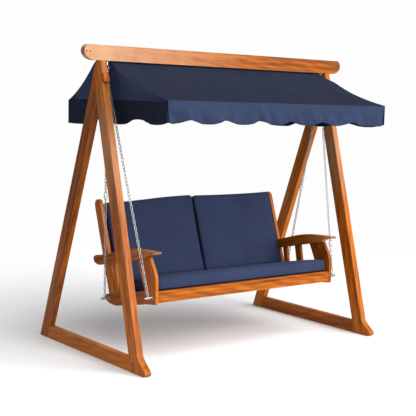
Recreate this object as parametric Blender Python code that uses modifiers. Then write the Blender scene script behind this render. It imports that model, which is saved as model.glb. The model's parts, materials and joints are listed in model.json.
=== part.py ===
"""Canopy swing bench: two timber A-frames under a ridge beam, a sewn canopy and a chain-hung sofa seat.

Units are metres, +Z is up, +X runs along the beam and -Y is the front. The origin is on the ground,
in the middle of the whole bench. "left" is -X and "right" is +X.
"""

import math

import bmesh
import bpy
from mathutils import Euler, Matrix, Vector

# ---- clearances and edge rounding ----
GAP = 0.0003                # between two pieces that touch
EDGE = 0.004                # rounded edges of the heavy timber
FINE_EDGE = 0.0025          # rounded edges of slats and rails
EDGE_STEPS = 2

# ---- A-frames: outlines in the Y-Z plane ----
FRAME_OUTER_X = 0.992
LEG_THICKNESS = 0.045
FRONT_LEG_FOOT_Y = -0.565   # front edge of the front leg, extended to the ground
FRONT_LEG_SLOPE = 0.273     # run in Y for each metre of height
FRONT_LEG_RUN = 0.096       # width of the front leg measured level
REAR_LEG_FOOT_Y = 0.648     # rear edge of the rear leg at the ground
REAR_LEG_SLOPE = 0.3568
REAR_LEG_RUN = 0.098
TOE_HEIGHT = 0.105          # where the toe leaves the straight leg
TOE_FLARE = 0.062           # how far the toe's tip stands in front of the straight leg
BASE_RAIL_HEIGHT = 0.085
BASE_RAIL_THICKNESS = 0.043
LEG_X = FRAME_OUTER_X - LEG_THICKNESS / 2

# ---- ridge beam ----
BEAM_LENGTH = 2.207
BEAM_HEIGHT = 0.095
BEAM_THICKNESS = 0.045
BEAM_UNDERSIDE = 1.860
BEAM_Y = -0.0425
CAP_BLOCK_WIDTH = 0.040
CAP_BLOCK_FOOT_Z = 1.732
CAP_BLOCK_STEP_Z = 1.778
CAP_BLOCK_DEPTHS = (0.022, 0.010)   # below and above its step

# ---- suspension ----
HANG_X = 0.927
EYE_RADIUS = 0.013
EYE_WIRE = 0.004
PIVOT_Z = 1.809             # centre of the eye's lower wire, which the seat swings about
RING_RADIUS = 0.018
RING_WIRE = 0.0035
CHAIN_RADIUS = 0.007
CHAIN_TOP_DROP = 0.047      # from the pivot to the top of the plain chain solids
CHAIN_END_CLEARANCE = 0.0062    # from a bolt's axis to the foot of its chain
BOLT_EYE_X = 0.803
FRONT_BOLT = (-0.368, 0.415)
REAR_BOLT = (0.128, 0.326)

# ---- seat frame: the seat falls towards the back, the back leans away ----
SEAT_TILT = math.radians(12.0)
BACK_LEAN = math.radians(19.0)
SEAT_OUTER_X = 0.769
POST_THICKNESS = 0.024
SIDE_RAIL_THICKNESS = 0.030
SIDE_RAIL_TOP = (-0.181, 0.419)   # a point on the side rail's top edge
SIDE_RAIL_DEPTH = 0.0845          # measured upright
SIDE_RAIL_FRONT_Y = -0.272        # where it meets the front post
FRONT_RAIL_Y = -0.389
FRONT_RAIL_THICKNESS = 0.028
FRONT_RAIL_Z = (0.380, 0.452)
SEAT_SLATS = 4
SEAT_SLAT_WIDTH = 0.085
SEAT_SLAT_THICKNESS = 0.018
SEAT_SLAT_START_Y = -0.356
SEAT_SLAT_END_Y = 0.068
SLAT_RECESS = 0.006               # slat tops below the side rail's top edge
REAR_RAIL = (0.088, 0.309, 0.026, 0.066)
BACK_POST_FOOT_Y = 0.067
BACK_POST_RUN = 0.072
BACK_POST_THICKNESS = 0.026
BACK_POST_OUTER_X = SEAT_OUTER_X - 0.002
BACK_POST_TOP = 0.962
BACK_SLATS = 4
BACK_SLAT_WIDTH = 0.088
BACK_SLAT_THICKNESS = 0.018
BACK_SLAT_PITCH = 0.132
BACK_SLAT_INSET = 0.052           # slat fronts behind the post fronts, measured level
BACK_SLAT_FIRST_Z = 0.462
ARM_WIDTH = 0.055
ARM_OUTER_X = 0.790
ARM_UNDERSIDE = (-0.270, 0.645)   # a point on the arm's straight underside
ARM_SLOPE = 0.2286
MID_SLAT = (-0.125, 0.055)        # foot Y and width, measured level
REAR_SLAT = (0.018, 0.040)
ARM_SLAT_THICKNESS = 0.022
ARM_SLAT_INSET = 0.013            # slat centres inside the seat's outer face
ARM_NOTCH_WIDTH = 0.080

# ---- cushions ----
SEAT_CUSHION_HALF = 0.733
SEAT_CUSHION_Y = (-0.384, 0.112)
SEAT_CUSHION_THICKNESS = 0.090
BACK_CUSHION_OUTER = 0.734
BACK_CUSHION_GAP = 0.006
BACK_CUSHION_FOOT_Z = 0.4385
BACK_CUSHION_HEIGHT = 0.518
BACK_CUSHION_THICKNESS = 0.070
CUSHION_EDGE = 0.022

# ---- canopy ----
RIDGE_Z = 1.858
RIDGE_REAR_Y = 0.128              # the canvas lies flat on the batten from under the beam back to here
ROOF_SAG = 0.024                  # how far each slope hangs below a straight line
SLOPE_STEPS = 8
FRONT_EAVE = (-0.648, 1.632)
REAR_EAVE = (0.450, 1.625)
HEM_Z = 1.500
CANOPY_HALF = 0.875
CLOTH = 0.003
CANVAS_EASE = 0.002               # between the canvas and the timbers that spread it
BATTEN_DEPTH = 0.022
RAFTER = (0.028, 0.024)           # width in X and depth across the slope
EAVE_BAR = (0.024, 0.030)         # depth in Y and height in Z
RAFTER_X = 0.846

SIDES = (("left", -1), ("right", 1))


def clear_scene():
    """Removes whatever the scene holds."""
    for obj in list(bpy.data.objects):
        bpy.data.objects.remove(obj)


def collection(name):
    made = bpy.data.collections.new(name)
    bpy.context.scene.collection.children.link(made)
    return made


def material(name, colour, roughness, metallic=0.0):
    made = bpy.data.materials.new(name)
    made.use_nodes = True
    shader = made.node_tree.nodes["Principled BSDF"]
    shader.inputs["Base Color"].default_value = (*colour, 1.0)
    shader.inputs["Roughness"].default_value = roughness
    shader.inputs["Metallic"].default_value = metallic
    return made


clear_scene()
BENCH = collection("canopy_swing_bench")
CUTTERS = collection("cutters")
WOOD = {"colour": (0.56, 0.27, 0.09), "roughness": 0.45}
CANVAS = {"colour": (0.035, 0.05, 0.12), "roughness": 0.85}
STEEL = {"colour": (0.72, 0.73, 0.75), "roughness": 0.3, "metallic": 1.0}


def place(name, mesh, look, matrix=None):
    """Links a mesh to the bench as one named piece with its own material."""
    piece = bpy.data.objects.new(name, mesh)
    if matrix is not None:
        piece.matrix_world = matrix
    mesh.materials.clear()
    mesh.materials.append(material(name, **look))
    BENCH.objects.link(piece)
    return piece


def round_edges(piece, width, steps=EDGE_STEPS):
    bevel = piece.modifiers.new("rounded edges", "BEVEL")
    bevel.width = width
    bevel.segments = steps
    bevel.limit_method = "ANGLE"
    bevel.angle_limit = math.radians(35)
    bevel.miter_outer = "MITER_SHARP"
    return piece


def box(name, centre, size, look, edge, tilt=0.0):
    """A board of the given size, turned about X by tilt."""
    mesh = bpy.data.meshes.new(name)
    shape = bmesh.new()
    bmesh.ops.create_cube(shape, size=1.0)
    bmesh.ops.scale(shape, vec=Vector(size), verts=shape.verts)
    shape.to_mesh(mesh)
    shape.free()
    piece = place(name, mesh, look, Matrix.Translation(centre) @ Euler((tilt, 0, 0)).to_matrix().to_4x4())
    return round_edges(piece, edge)


def outline_mesh(name, outline, thickness, matrix):
    """A flat outline with thickness, as a welded mesh."""
    curve = bpy.data.curves.new(name, "CURVE")
    curve.dimensions = "2D"
    curve.fill_mode = "BOTH"
    curve.extrude = thickness / 2
    spline = curve.splines.new("POLY")
    spline.points.add(len(outline) - 1)
    for point, (across, up) in zip(spline.points, outline):
        point.co = (across, up, 0, 1)
    spline.use_cyclic_u = True
    drawn = bpy.data.objects.new(name + "_outline", curve)
    bpy.context.scene.collection.objects.link(drawn)
    bpy.context.view_layer.update()
    depsgraph = bpy.context.evaluated_depsgraph_get()
    mesh = bpy.data.meshes.new_from_object(drawn.evaluated_get(depsgraph))
    bpy.data.objects.remove(drawn)
    shape = bmesh.new()
    shape.from_mesh(mesh)
    bmesh.ops.remove_doubles(shape, verts=shape.verts, dist=0.00001)
    bmesh.ops.recalc_face_normals(shape, faces=shape.faces)
    shape.to_mesh(mesh)
    shape.free()
    mesh.name = name
    return mesh, matrix


def side_plate(name, outline, thickness, centre_x, look, edge):
    """A plank cut to an outline of (Y, Z) points, lying in an upright fore-and-aft plane."""
    upright = Euler((math.pi / 2, 0, math.pi / 2)).to_matrix().to_4x4()
    mesh, matrix = outline_mesh(name, outline, thickness, Matrix.Translation((centre_x, 0, 0)) @ upright)
    return round_edges(place(name, mesh, look, matrix), edge)


def front_plate(name, outline, thickness, centre_y, look, edge):
    """A plank cut to an outline of (X, Z) points, facing the front."""
    upright = Euler((math.pi / 2, 0, 0)).to_matrix().to_4x4()
    mesh, matrix = outline_mesh(name, outline, thickness, Matrix.Translation((0, centre_y, 0)) @ upright)
    return round_edges(place(name, mesh, look, matrix), edge)


def arc(centre, radii, start, end, steps):
    """Points on an elliptic arc, with the angles in degrees."""
    angles = [math.radians(start + (end - start) * i / steps) for i in range(steps + 1)]
    return [(centre[0] + radii[0] * math.cos(a), centre[1] + radii[1] * math.sin(a)) for a in angles]


def smooth(points, steps=4):
    """Points on one smooth curve that passes through the given points."""
    ends = [points[0]] + list(points) + [points[-1]]
    path = []
    for a, b, c, d in zip(ends, ends[1:], ends[2:], ends[3:]):
        for i in range(steps):
            t = i / steps
            path.append(tuple(
                0.5 * (2 * b[k] + (c[k] - a[k]) * t + (2 * a[k] - 5 * b[k] + 4 * c[k] - d[k]) * t * t
                       + (3 * b[k] - a[k] - 3 * c[k] + d[k]) * t ** 3) for k in (0, 1)))
    return path + [points[-1]]


def rod(name, start, end, radius, look, sides=8):
    """A straight round bar between two points."""
    start, end = Vector(start), Vector(end)
    mesh = bpy.data.meshes.new(name)
    shape = bmesh.new()
    bmesh.ops.create_cone(shape, cap_ends=True, segments=sides, radius1=radius, radius2=radius,
                          depth=(end - start).length)
    shape.to_mesh(mesh)
    shape.free()
    mesh.shade_smooth()
    mesh.set_sharp_from_angle(angle=math.radians(40))
    turn = (end - start).to_track_quat("Z", "Y").to_matrix().to_4x4()
    return place(name, mesh, look, Matrix.Translation((start + end) / 2) @ turn)


def torus(name, centre, radius, wire, rotation):
    """A round wire ring, not yet linked to the bench."""
    bpy.ops.mesh.primitive_torus_add(major_radius=radius, minor_radius=wire, major_segments=20,
                                     minor_segments=8, location=centre, rotation=rotation)
    ring = bpy.context.object
    ring.name = name
    for owner in list(ring.users_collection):
        owner.objects.unlink(ring)
    ring.data.shade_smooth()
    return ring


def as_cutter(obj):
    for owner in list(obj.users_collection):
        owner.objects.unlink(obj)
    CUTTERS.objects.link(obj)
    obj.hide_render = True
    obj.display_type = "WIRE"
    return obj


def boolean(piece, other, operation):
    step = piece.modifiers.new(operation.lower(), "BOOLEAN")
    step.operation = operation
    step.solver = "EXACT"
    step.object = other
    return piece


def turned(name, profile, matrix, look):
    """A turned piece from (radius, height) points that run down its outside, top to bottom."""
    mesh = bpy.data.meshes.new(name)
    mesh.from_pydata([(radius, 0, height) for radius, height in profile],
                     [(i, i + 1) for i in range(len(profile) - 1)], [])
    piece = place(name, mesh, look, matrix)
    lathe = piece.modifiers.new("lathe", "SCREW")
    lathe.steps = lathe.render_steps = 14
    lathe.use_merge_vertices = True
    lathe.merge_threshold = 0.00001
    lathe.use_smooth_shade = True
    return piece


# ---- edges that several pieces share ----

def front_leg_front(z):
    return FRONT_LEG_FOOT_Y + FRONT_LEG_SLOPE * z


def front_leg_back(z):
    return front_leg_front(z) + FRONT_LEG_RUN


def rear_leg_back(z):
    return REAR_LEG_FOOT_Y - REAR_LEG_SLOPE * z


def rear_leg_front(z):
    return rear_leg_back(z) - REAR_LEG_RUN


def side_rail_top(y):
    return SIDE_RAIL_TOP[1] - math.tan(SEAT_TILT) * (y - SIDE_RAIL_TOP[0])


def arm_underside(y):
    return ARM_UNDERSIDE[1] - ARM_SLOPE * (y - ARM_UNDERSIDE[0])


def back_post_front(z):
    return BACK_POST_FOOT_Y + math.tan(BACK_LEAN) * (z - side_rail_top(BACK_POST_FOOT_Y))


def seat_slat_top(y):
    return side_rail_top(y) - SLAT_RECESS


def hanging_slope(y, start, eave):
    """Height of a slope that hangs between the start of the fall and an eave."""
    share = max(0.0, (y - start) / (eave[0] - start))
    return RIDGE_Z + (eave[1] - RIDGE_Z) * share - 4 * ROOF_SAG * share * (1 - share)


def front_roof(y):
    """Height of the canopy's front slope."""
    return hanging_slope(y, BEAM_Y, FRONT_EAVE)


def rear_roof(y):
    """Height of the canopy's flat top and rear slope."""
    return hanging_slope(y, RIDGE_REAR_Y, REAR_EAVE)


def slope_line(roof, first_y, last_y, drop):
    """Points down a slope, dropped below the canvas's top."""
    places = [first_y + (last_y - first_y) * i / SLOPE_STEPS for i in range(SLOPE_STEPS + 1)]
    return [(y, roof(y) - drop) for y in places]


# ---- the standing frame ----

def add_legs():
    legs_meet = (REAR_LEG_FOOT_Y - FRONT_LEG_FOOT_Y - FRONT_LEG_RUN) / (FRONT_LEG_SLOPE + REAR_LEG_SLOPE)
    crotch = legs_meet - REAR_LEG_RUN / (FRONT_LEG_SLOPE + REAR_LEG_SLOPE)
    top = BEAM_UNDERSIDE - GAP
    flare = ((TOE_HEIGHT + 0.05, 0), (TOE_HEIGHT, 0), (0.072, 0.33), (0.048, 0.74), (0.030, 0.98),
             (0.015, 0.97), (0.004, 0.72), (0.0, 0.35))
    toe = smooth([(front_leg_front(z) - TOE_FLARE * share, z) for z, share in flare], 3)
    front = [(front_leg_front(top), top)] + toe + [
        (front_leg_back(0), 0.0), (front_leg_back(legs_meet), legs_meet), (rear_leg_back(top), top)]
    rear = [(rear_leg_front(0) + GAP, 0.0), (REAR_LEG_FOOT_Y, 0.0),
            (rear_leg_back(legs_meet) + GAP, legs_meet - GAP), (front_leg_back(crotch) + GAP, crotch)]
    for side, s in SIDES:
        side_plate(f"leg_front_{side}", front, LEG_THICKNESS, s * LEG_X, WOOD, EDGE)
        side_plate(f"leg_rear_{side}", rear, LEG_THICKNESS, s * LEG_X, WOOD, EDGE)


def add_base_rails():
    rail = [(front_leg_back(0) + GAP, 0.0), (rear_leg_front(0) - GAP, 0.0),
            (rear_leg_front(BASE_RAIL_HEIGHT) - GAP, BASE_RAIL_HEIGHT),
            (front_leg_back(BASE_RAIL_HEIGHT) + GAP, BASE_RAIL_HEIGHT)]
    for side, s in SIDES:
        side_plate(f"base_rail_{side}", rail, BASE_RAIL_THICKNESS, s * LEG_X, WOOD, FINE_EDGE)


def add_beam():
    half = BEAM_LENGTH / 2
    crown = arc((half - 0.038, BEAM_UNDERSIDE + 0.055), (0.038, 0.040), 90, 0, 6)
    chin = arc((half - 0.075, BEAM_UNDERSIDE + 0.055), (0.075, 0.055), 0, -90, 8)
    right_end = crown + chin[1:]
    left_end = [(-x, z) for x, z in reversed(right_end)]
    front_plate("ridge_beam", right_end + left_end, BEAM_THICKNESS, BEAM_Y, WOOD, EDGE)


def add_cap_blocks():
    """Stepped blocks screwed to the front of each A-frame's head, up to the beam."""
    top = BEAM_UNDERSIDE - GAP
    thick, thin = CAP_BLOCK_DEPTHS
    corners = ((CAP_BLOCK_FOOT_Z, GAP), (CAP_BLOCK_FOOT_Z, thick), (CAP_BLOCK_STEP_Z, thick),
               (CAP_BLOCK_STEP_Z + 0.006, thin), (top, thin), (top, GAP))
    outline = [(front_leg_front(z) - forward, z) for z, forward in corners]
    for side, s in SIDES:
        side_plate(f"cap_block_{side}", outline, CAP_BLOCK_WIDTH, s * LEG_X, WOOD, 0.0015)


def add_hanging_eyes():
    """Screw eyes under the beam that the swing's rings hook into."""
    centre_z = PIVOT_Z + EYE_RADIUS
    for side, s in SIDES:
        eye = torus(f"hanging_eye_{side}", (s * HANG_X, BEAM_Y, centre_z), EYE_RADIUS, EYE_WIRE,
                    (math.pi / 2, 0, 0))
        BENCH.objects.link(eye)
        eye.data.materials.append(material(eye.name, **STEEL))
        collar_base = centre_z + EYE_RADIUS - EYE_WIRE / 2
        profile = [(0, BEAM_UNDERSIDE - GAP), (0.011, BEAM_UNDERSIDE - GAP), (0.011, BEAM_UNDERSIDE - 0.004),
                   (0.0055, BEAM_UNDERSIDE - 0.007), (0.0055, collar_base), (0, collar_base)]
        stem = turned(f"eye_stem_{side}", profile, Matrix.Translation((s * HANG_X, BEAM_Y, 0)), STEEL)
        boolean(eye, as_cutter(stem), "UNION")


# ---- the canopy: sewn canvas panels over a light timber roof ----

def roof_panel(name, roof, seam_y, fall_y, eave_y):
    """One canvas panel from the seam under the beam to an eave."""
    top = [(seam_y, RIDGE_Z)] * (seam_y != fall_y) + slope_line(roof, fall_y, eave_y, 0.0)
    outline = top + [(y, z - CLOTH) for y, z in reversed(top)]
    panel = side_plate(name, outline, 2 * CANOPY_HALF, 0.0, CANVAS, EDGE)
    panel.modifiers.clear()


def add_canopy():
    roof_panel("canopy_roof_front", front_roof, BEAM_Y - GAP, BEAM_Y - GAP, FRONT_EAVE[0])
    roof_panel("canopy_roof_rear", rear_roof, BEAM_Y + GAP, RIDGE_REAR_Y, REAR_EAVE[0])
    for name, eave, inward in (("front", FRONT_EAVE, 1), ("rear", REAR_EAVE, -1)):
        roof = front_roof if inward > 0 else rear_roof
        top = roof(eave[0]) - CLOTH - GAP
        inner_y = eave[0] + inward * CLOTH
        outline = [(eave[0], HEM_Z), (eave[0], top), (inner_y, top), (inner_y, HEM_Z)]
        valance = side_plate(f"canopy_valance_{name}", outline, 2 * CANOPY_HALF, 0.0, CANVAS, EDGE)
        valance.modifiers.clear()
    under = CLOTH + 2 * GAP
    front_y = FRONT_EAVE[0] + CLOTH + GAP
    rear_y = REAR_EAVE[0] - CLOTH - GAP
    top = slope_line(front_roof, front_y, BEAM_Y, under) + slope_line(rear_roof, RIDGE_REAR_Y, rear_y, under)
    gable = [(front_y, HEM_Z)] + top + [(rear_y, HEM_Z)]
    for side, s in SIDES:
        panel = side_plate(f"canopy_gable_{side}", gable, CLOTH, s * (CANOPY_HALF - CLOTH / 2), CANVAS, EDGE)
        panel.modifiers.clear()


def add_canopy_timbers():
    """The flat batten under the beam, four curved rafters and two eave bars that spread the canvas."""
    inner_half = CANOPY_HALF - CLOTH - CANVAS_EASE
    batten_top = RIDGE_Z - CLOTH - 2 * GAP
    box("canopy_batten", (0, (BEAM_Y + RIDGE_REAR_Y) / 2, batten_top - BATTEN_DEPTH / 2),
        (2 * inner_half, RIDGE_REAR_Y - BEAM_Y, BATTEN_DEPTH), WOOD, FINE_EDGE)
    for name, eave, roof, inward, batten_edge in (("front", FRONT_EAVE, front_roof, 1, BEAM_Y),
                                                  ("rear", REAR_EAVE, rear_roof, -1, RIDGE_REAR_Y)):
        bar_y = eave[0] + inward * (CLOTH + CANVAS_EASE + EAVE_BAR[0] / 2)
        bar_top = roof(bar_y - inward * EAVE_BAR[0] / 2) - CLOTH - 0.001
        box(f"canopy_eave_bar_{name}", (0, bar_y, bar_top - EAVE_BAR[1] / 2), (2 * inner_half, *EAVE_BAR), WOOD,
            FINE_EDGE)
        start = batten_edge - inward * GAP
        end = bar_y + inward * (EAVE_BAR[0] / 2 + GAP)
        top = slope_line(roof, start, end, CLOTH + 0.001)
        outline = top + [(y, z - RAFTER[1]) for y, z in reversed(top)]
        for side, s in SIDES:
            side_plate(f"canopy_rafter_{name}_{side}", outline, RAFTER[0], s * RAFTER_X, WOOD, 0.001)


# ---- the hanging seat ----

def add_side_rails():
    front = SIDE_RAIL_FRONT_Y
    outline = [(front, side_rail_top(front) - SIDE_RAIL_DEPTH), (front, side_rail_top(front) + 0.008)]
    outline += smooth([(front + 0.010, side_rail_top(front) + 0.002),
                       (front + 0.045, side_rail_top(front + 0.045)), (0.150, side_rail_top(0.150))], 3)
    outline += smooth([(0.168, 0.343), (0.176, 0.330), (0.166, 0.308), (0.128, 0.292), (0.065, 0.287),
                       (0.0, side_rail_top(0.0) - SIDE_RAIL_DEPTH)], 3)
    x = SEAT_OUTER_X - SIDE_RAIL_THICKNESS / 2
    for side, s in SIDES:
        side_plate(f"seat_side_rail_{side}", outline, SIDE_RAIL_THICKNESS, s * x, WOOD, FINE_EDGE)


def add_front_posts():
    """Broad front posts with an S-curved edge that carry the arms."""
    rail_joint = SIDE_RAIL_FRONT_Y - GAP
    edge = smooth([(-0.392, 0.372), (-0.393, 0.455), (-0.390, 0.517), (-0.374, 0.573), (-0.342, 0.624),
                   (-0.322, arm_underside(-0.322) - GAP)], 4)
    back = smooth([(-0.182, arm_underside(-0.182) - GAP), (-0.212, 0.568), (-0.246, 0.500),
                   (rail_joint, 0.449)], 4)
    outline = edge + back + [(rail_joint, 0.356)]
    x = SEAT_OUTER_X - POST_THICKNESS / 2
    for side, s in SIDES:
        side_plate(f"front_post_{side}", outline, POST_THICKNESS, s * x, WOOD, FINE_EDGE)


def back_post_outline(grow=0.0):
    lean = math.tan(BACK_LEAN)
    foot_front = (BACK_POST_FOOT_Y - grow, side_rail_top(BACK_POST_FOOT_Y) + GAP)
    foot_rear_y = BACK_POST_FOOT_Y + BACK_POST_RUN + grow
    rise = lean * (side_rail_top(foot_rear_y) - side_rail_top(BACK_POST_FOOT_Y))
    foot_rear = (foot_rear_y + rise, side_rail_top(foot_rear_y + rise) + GAP)
    radius = BACK_POST_RUN * math.cos(BACK_LEAN) / 2 + grow
    head_z = BACK_POST_TOP - radius
    head = (back_post_front(head_z) + BACK_POST_RUN / 2, head_z)
    lean_degrees = math.degrees(BACK_LEAN)
    return [foot_front, foot_rear] + arc(head, (radius, radius), -lean_degrees, 180 - lean_degrees, 8)


def add_back_posts():
    x = BACK_POST_OUTER_X - BACK_POST_THICKNESS / 2
    for side, s in SIDES:
        side_plate(f"back_post_{side}", back_post_outline(), BACK_POST_THICKNESS, s * x, WOOD, FINE_EDGE)


def add_arms():
    """Sculpted arms: a hump amidships, a thin tip in front, a round tail lapped over the back post."""
    top = smooth([(-0.400, 0.7005), (-0.330, 0.7000), (-0.216, 0.6945), (-0.104, 0.6830), (0.000, 0.6570),
                  (0.105, 0.6270), (0.213, 0.6010), (0.262, 0.5940)], 3)
    tail = smooth([(0.290, 0.584), (0.298, 0.567), (0.286, 0.546), (0.255, 0.534),
                   (0.223, arm_underside(0.223))], 3)
    tip = smooth([(-0.286, arm_underside(-0.286)), (-0.318, 0.668), (-0.350, 0.6825), (-0.395, 0.6865)], 3)
    outline = top + tail + tip + [(-0.404, 0.6935)]
    x = ARM_OUTER_X - ARM_WIDTH / 2
    notch_outer = BACK_POST_OUTER_X + GAP
    for side, s in SIDES:
        arm = side_plate(f"arm_{side}", outline, ARM_WIDTH, s * x, WOOD, FINE_EDGE)
        arm.modifiers.clear()
        notch_x = s * (notch_outer - ARM_NOTCH_WIDTH / 2)
        notch = side_plate(f"arm_notch_{side}", back_post_outline(2 * GAP), ARM_NOTCH_WIDTH, notch_x, WOOD,
                           EDGE)
        notch.modifiers.clear()
        boolean(arm, as_cutter(notch), "DIFFERENCE")
        round_edges(arm, FINE_EDGE, 1)


def leaning_slat(name, foot_y, width, s):
    """An upright slat between the side rail and the arm, leaning back with the seat."""
    lean = math.tan(SEAT_TILT)

    def where(y):
        """Where the slat's edge that starts at y on the rail meets the arm."""
        z = (arm_underside(y) + ARM_SLOPE * lean * side_rail_top(y)) / (1 + ARM_SLOPE * lean)
        return (y + lean * (z - side_rail_top(y)), z - GAP)

    outline = [(foot_y, side_rail_top(foot_y) + GAP), (foot_y + width, side_rail_top(foot_y + width) + GAP),
               where(foot_y + width), where(foot_y)]
    side_plate(name, outline, ARM_SLAT_THICKNESS, s * (SEAT_OUTER_X - ARM_SLAT_INSET), WOOD, FINE_EDGE)


def add_arm_slats():
    for side, s in SIDES:
        leaning_slat(f"arm_slat_mid_{side}", *MID_SLAT, s)
        leaning_slat(f"arm_slat_rear_{side}", *REAR_SLAT, s)


def add_seat_cross_rails():
    low, high = FRONT_RAIL_Z
    half = SEAT_OUTER_X - POST_THICKNESS - GAP
    box("seat_front_rail", (0, FRONT_RAIL_Y + FRONT_RAIL_THICKNESS / 2, (low + high) / 2),
        (2 * half, FRONT_RAIL_THICKNESS, high - low), WOOD, FINE_EDGE)
    y, z, thickness, height = REAR_RAIL
    inner = SEAT_OUTER_X - SIDE_RAIL_THICKNESS - GAP
    box("seat_rear_rail", (0, y, z), (2 * inner, thickness, height), WOOD, FINE_EDGE, -SEAT_TILT)


def add_seat_slats():
    inner = SEAT_OUTER_X - SIDE_RAIL_THICKNESS - GAP
    run = SEAT_SLAT_WIDTH * math.cos(SEAT_TILT)
    first = SEAT_SLAT_START_Y + run / 2
    pitch = (SEAT_SLAT_END_Y - run / 2 - first) / (SEAT_SLATS - 1)
    for i in range(SEAT_SLATS):
        y = first + i * pitch
        below = SEAT_SLAT_THICKNESS / 2
        centre = (0, y - below * math.sin(SEAT_TILT), seat_slat_top(y) - below * math.cos(SEAT_TILT))
        box(f"seat_slat_{i + 1}", centre, (2 * inner, SEAT_SLAT_WIDTH, SEAT_SLAT_THICKNESS), WOOD, FINE_EDGE,
            -SEAT_TILT)


def back_plane(z):
    """Y of the back slats' front faces."""
    return back_post_front(z) + BACK_SLAT_INSET


def add_back_slats():
    inner = BACK_POST_OUTER_X - BACK_POST_THICKNESS - GAP
    for i in range(BACK_SLATS):
        z = BACK_SLAT_FIRST_Z + i * BACK_SLAT_PITCH * math.cos(BACK_LEAN)
        behind = BACK_SLAT_THICKNESS / 2
        centre = (0, back_plane(z) + behind * math.cos(BACK_LEAN), z - behind * math.sin(BACK_LEAN))
        box(f"back_slat_{i + 1}", centre, (2 * inner, BACK_SLAT_THICKNESS, BACK_SLAT_WIDTH), WOOD, FINE_EDGE,
            -BACK_LEAN)


def add_cushions():
    front, rear = SEAT_CUSHION_Y
    depth = (rear - front) / math.cos(SEAT_TILT)
    middle = (front + rear) / 2
    lift = SEAT_CUSHION_THICKNESS / 2 + 2 * GAP
    centre = (0, middle + lift * math.sin(SEAT_TILT), seat_slat_top(middle) + lift * math.cos(SEAT_TILT))
    seat = box("seat_cushion", centre, (2 * SEAT_CUSHION_HALF, depth, SEAT_CUSHION_THICKNESS), CANVAS,
               CUSHION_EDGE, -SEAT_TILT)
    seat.data.shade_smooth()
    up = Vector((0, math.sin(BACK_LEAN), math.cos(BACK_LEAN)))
    forward = Vector((0, -math.cos(BACK_LEAN), math.sin(BACK_LEAN)))
    foot = Vector((0, back_plane(BACK_CUSHION_FOOT_Z) - 2 * GAP, BACK_CUSHION_FOOT_Z))
    width = BACK_CUSHION_OUTER - BACK_CUSHION_GAP / 2
    for side, s in SIDES:
        centre = foot + up * BACK_CUSHION_HEIGHT / 2 + forward * BACK_CUSHION_THICKNESS / 2
        centre.x = s * (BACK_CUSHION_OUTER + BACK_CUSHION_GAP / 2) / 2
        back = box(f"back_cushion_{side}", centre, (width, BACK_CUSHION_THICKNESS, BACK_CUSHION_HEIGHT), CANVAS,
                   CUSHION_EDGE, -BACK_LEAN)
        back.data.shade_smooth()


def add_suspension():
    """Rings in the beam's eyes, two chains a side, and the bolts that take the chains' last links."""
    ring_z = PIVOT_Z + EYE_WIRE + RING_WIRE + 0.0005 - RING_RADIUS
    bolt = [(0, 0.064), (0.0035, 0.064), (0.005, 0.0625), (0.005, 0.056), (0.0095, 0.054), (0.0095, 0.047),
            (0.005, 0.045), (0.005, 0.003), (0.012, 0.0025), (0.012, GAP), (0, GAP)]
    for side, s in SIDES:
        ring = torus(f"hang_ring_{side}", (s * HANG_X, BEAM_Y, ring_z), RING_RADIUS, RING_WIRE,
                     (0, math.pi / 2, 0))
        BENCH.objects.link(ring)
        ring.data.materials.append(material(ring.name, **STEEL))
        pivot = Vector((s * HANG_X, BEAM_Y, PIVOT_Z))
        for end, (y, z) in (("front", FRONT_BOLT), ("rear", REAR_BOLT)):
            low = Vector((s * BOLT_EYE_X, y, z))
            run = (low - pivot).normalized()
            top, foot = pivot + run * CHAIN_TOP_DROP, low - run * CHAIN_END_CLEARANCE
            rod(f"chain_{end}_{side}", top, foot, CHAIN_RADIUS, STEEL)
            outward = Euler((0, s * math.pi / 2, 0)).to_matrix().to_4x4()
            seated = Matrix.Translation((s * SEAT_OUTER_X, y, z)) @ outward
            turned(f"chain_bolt_{end}_{side}", bolt, seated, STEEL)


def main():
    add_legs()
    add_base_rails()
    add_beam()
    add_cap_blocks()
    add_hanging_eyes()
    add_canopy()
    add_canopy_timbers()
    add_side_rails()
    add_front_posts()
    add_back_posts()
    add_arms()
    add_arm_slats()
    add_seat_cross_rails()
    add_seat_slats()
    add_back_slats()
    add_cushions()
    add_suspension()
    bpy.context.view_layer.update()


main()
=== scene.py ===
"""Canopy swing bench: finishes, sewn canopy, stuffed cushions, link chains and screws round the timber frame.

Units are metres, +Z is up, +X runs along the ridge beam and -Y is the front. What the frame settles is read
from the frame; every other size is a field of the class that uses it.
"""

import functools
import json
import logging
import math
from collections.abc import Callable, Iterable, Sequence
from dataclasses import dataclass, field
from enum import Enum

import bmesh
import bpy
import numpy as np
from mathutils import Matrix, Vector, noise
from mathutils.bvhtree import BVHTree


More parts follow.
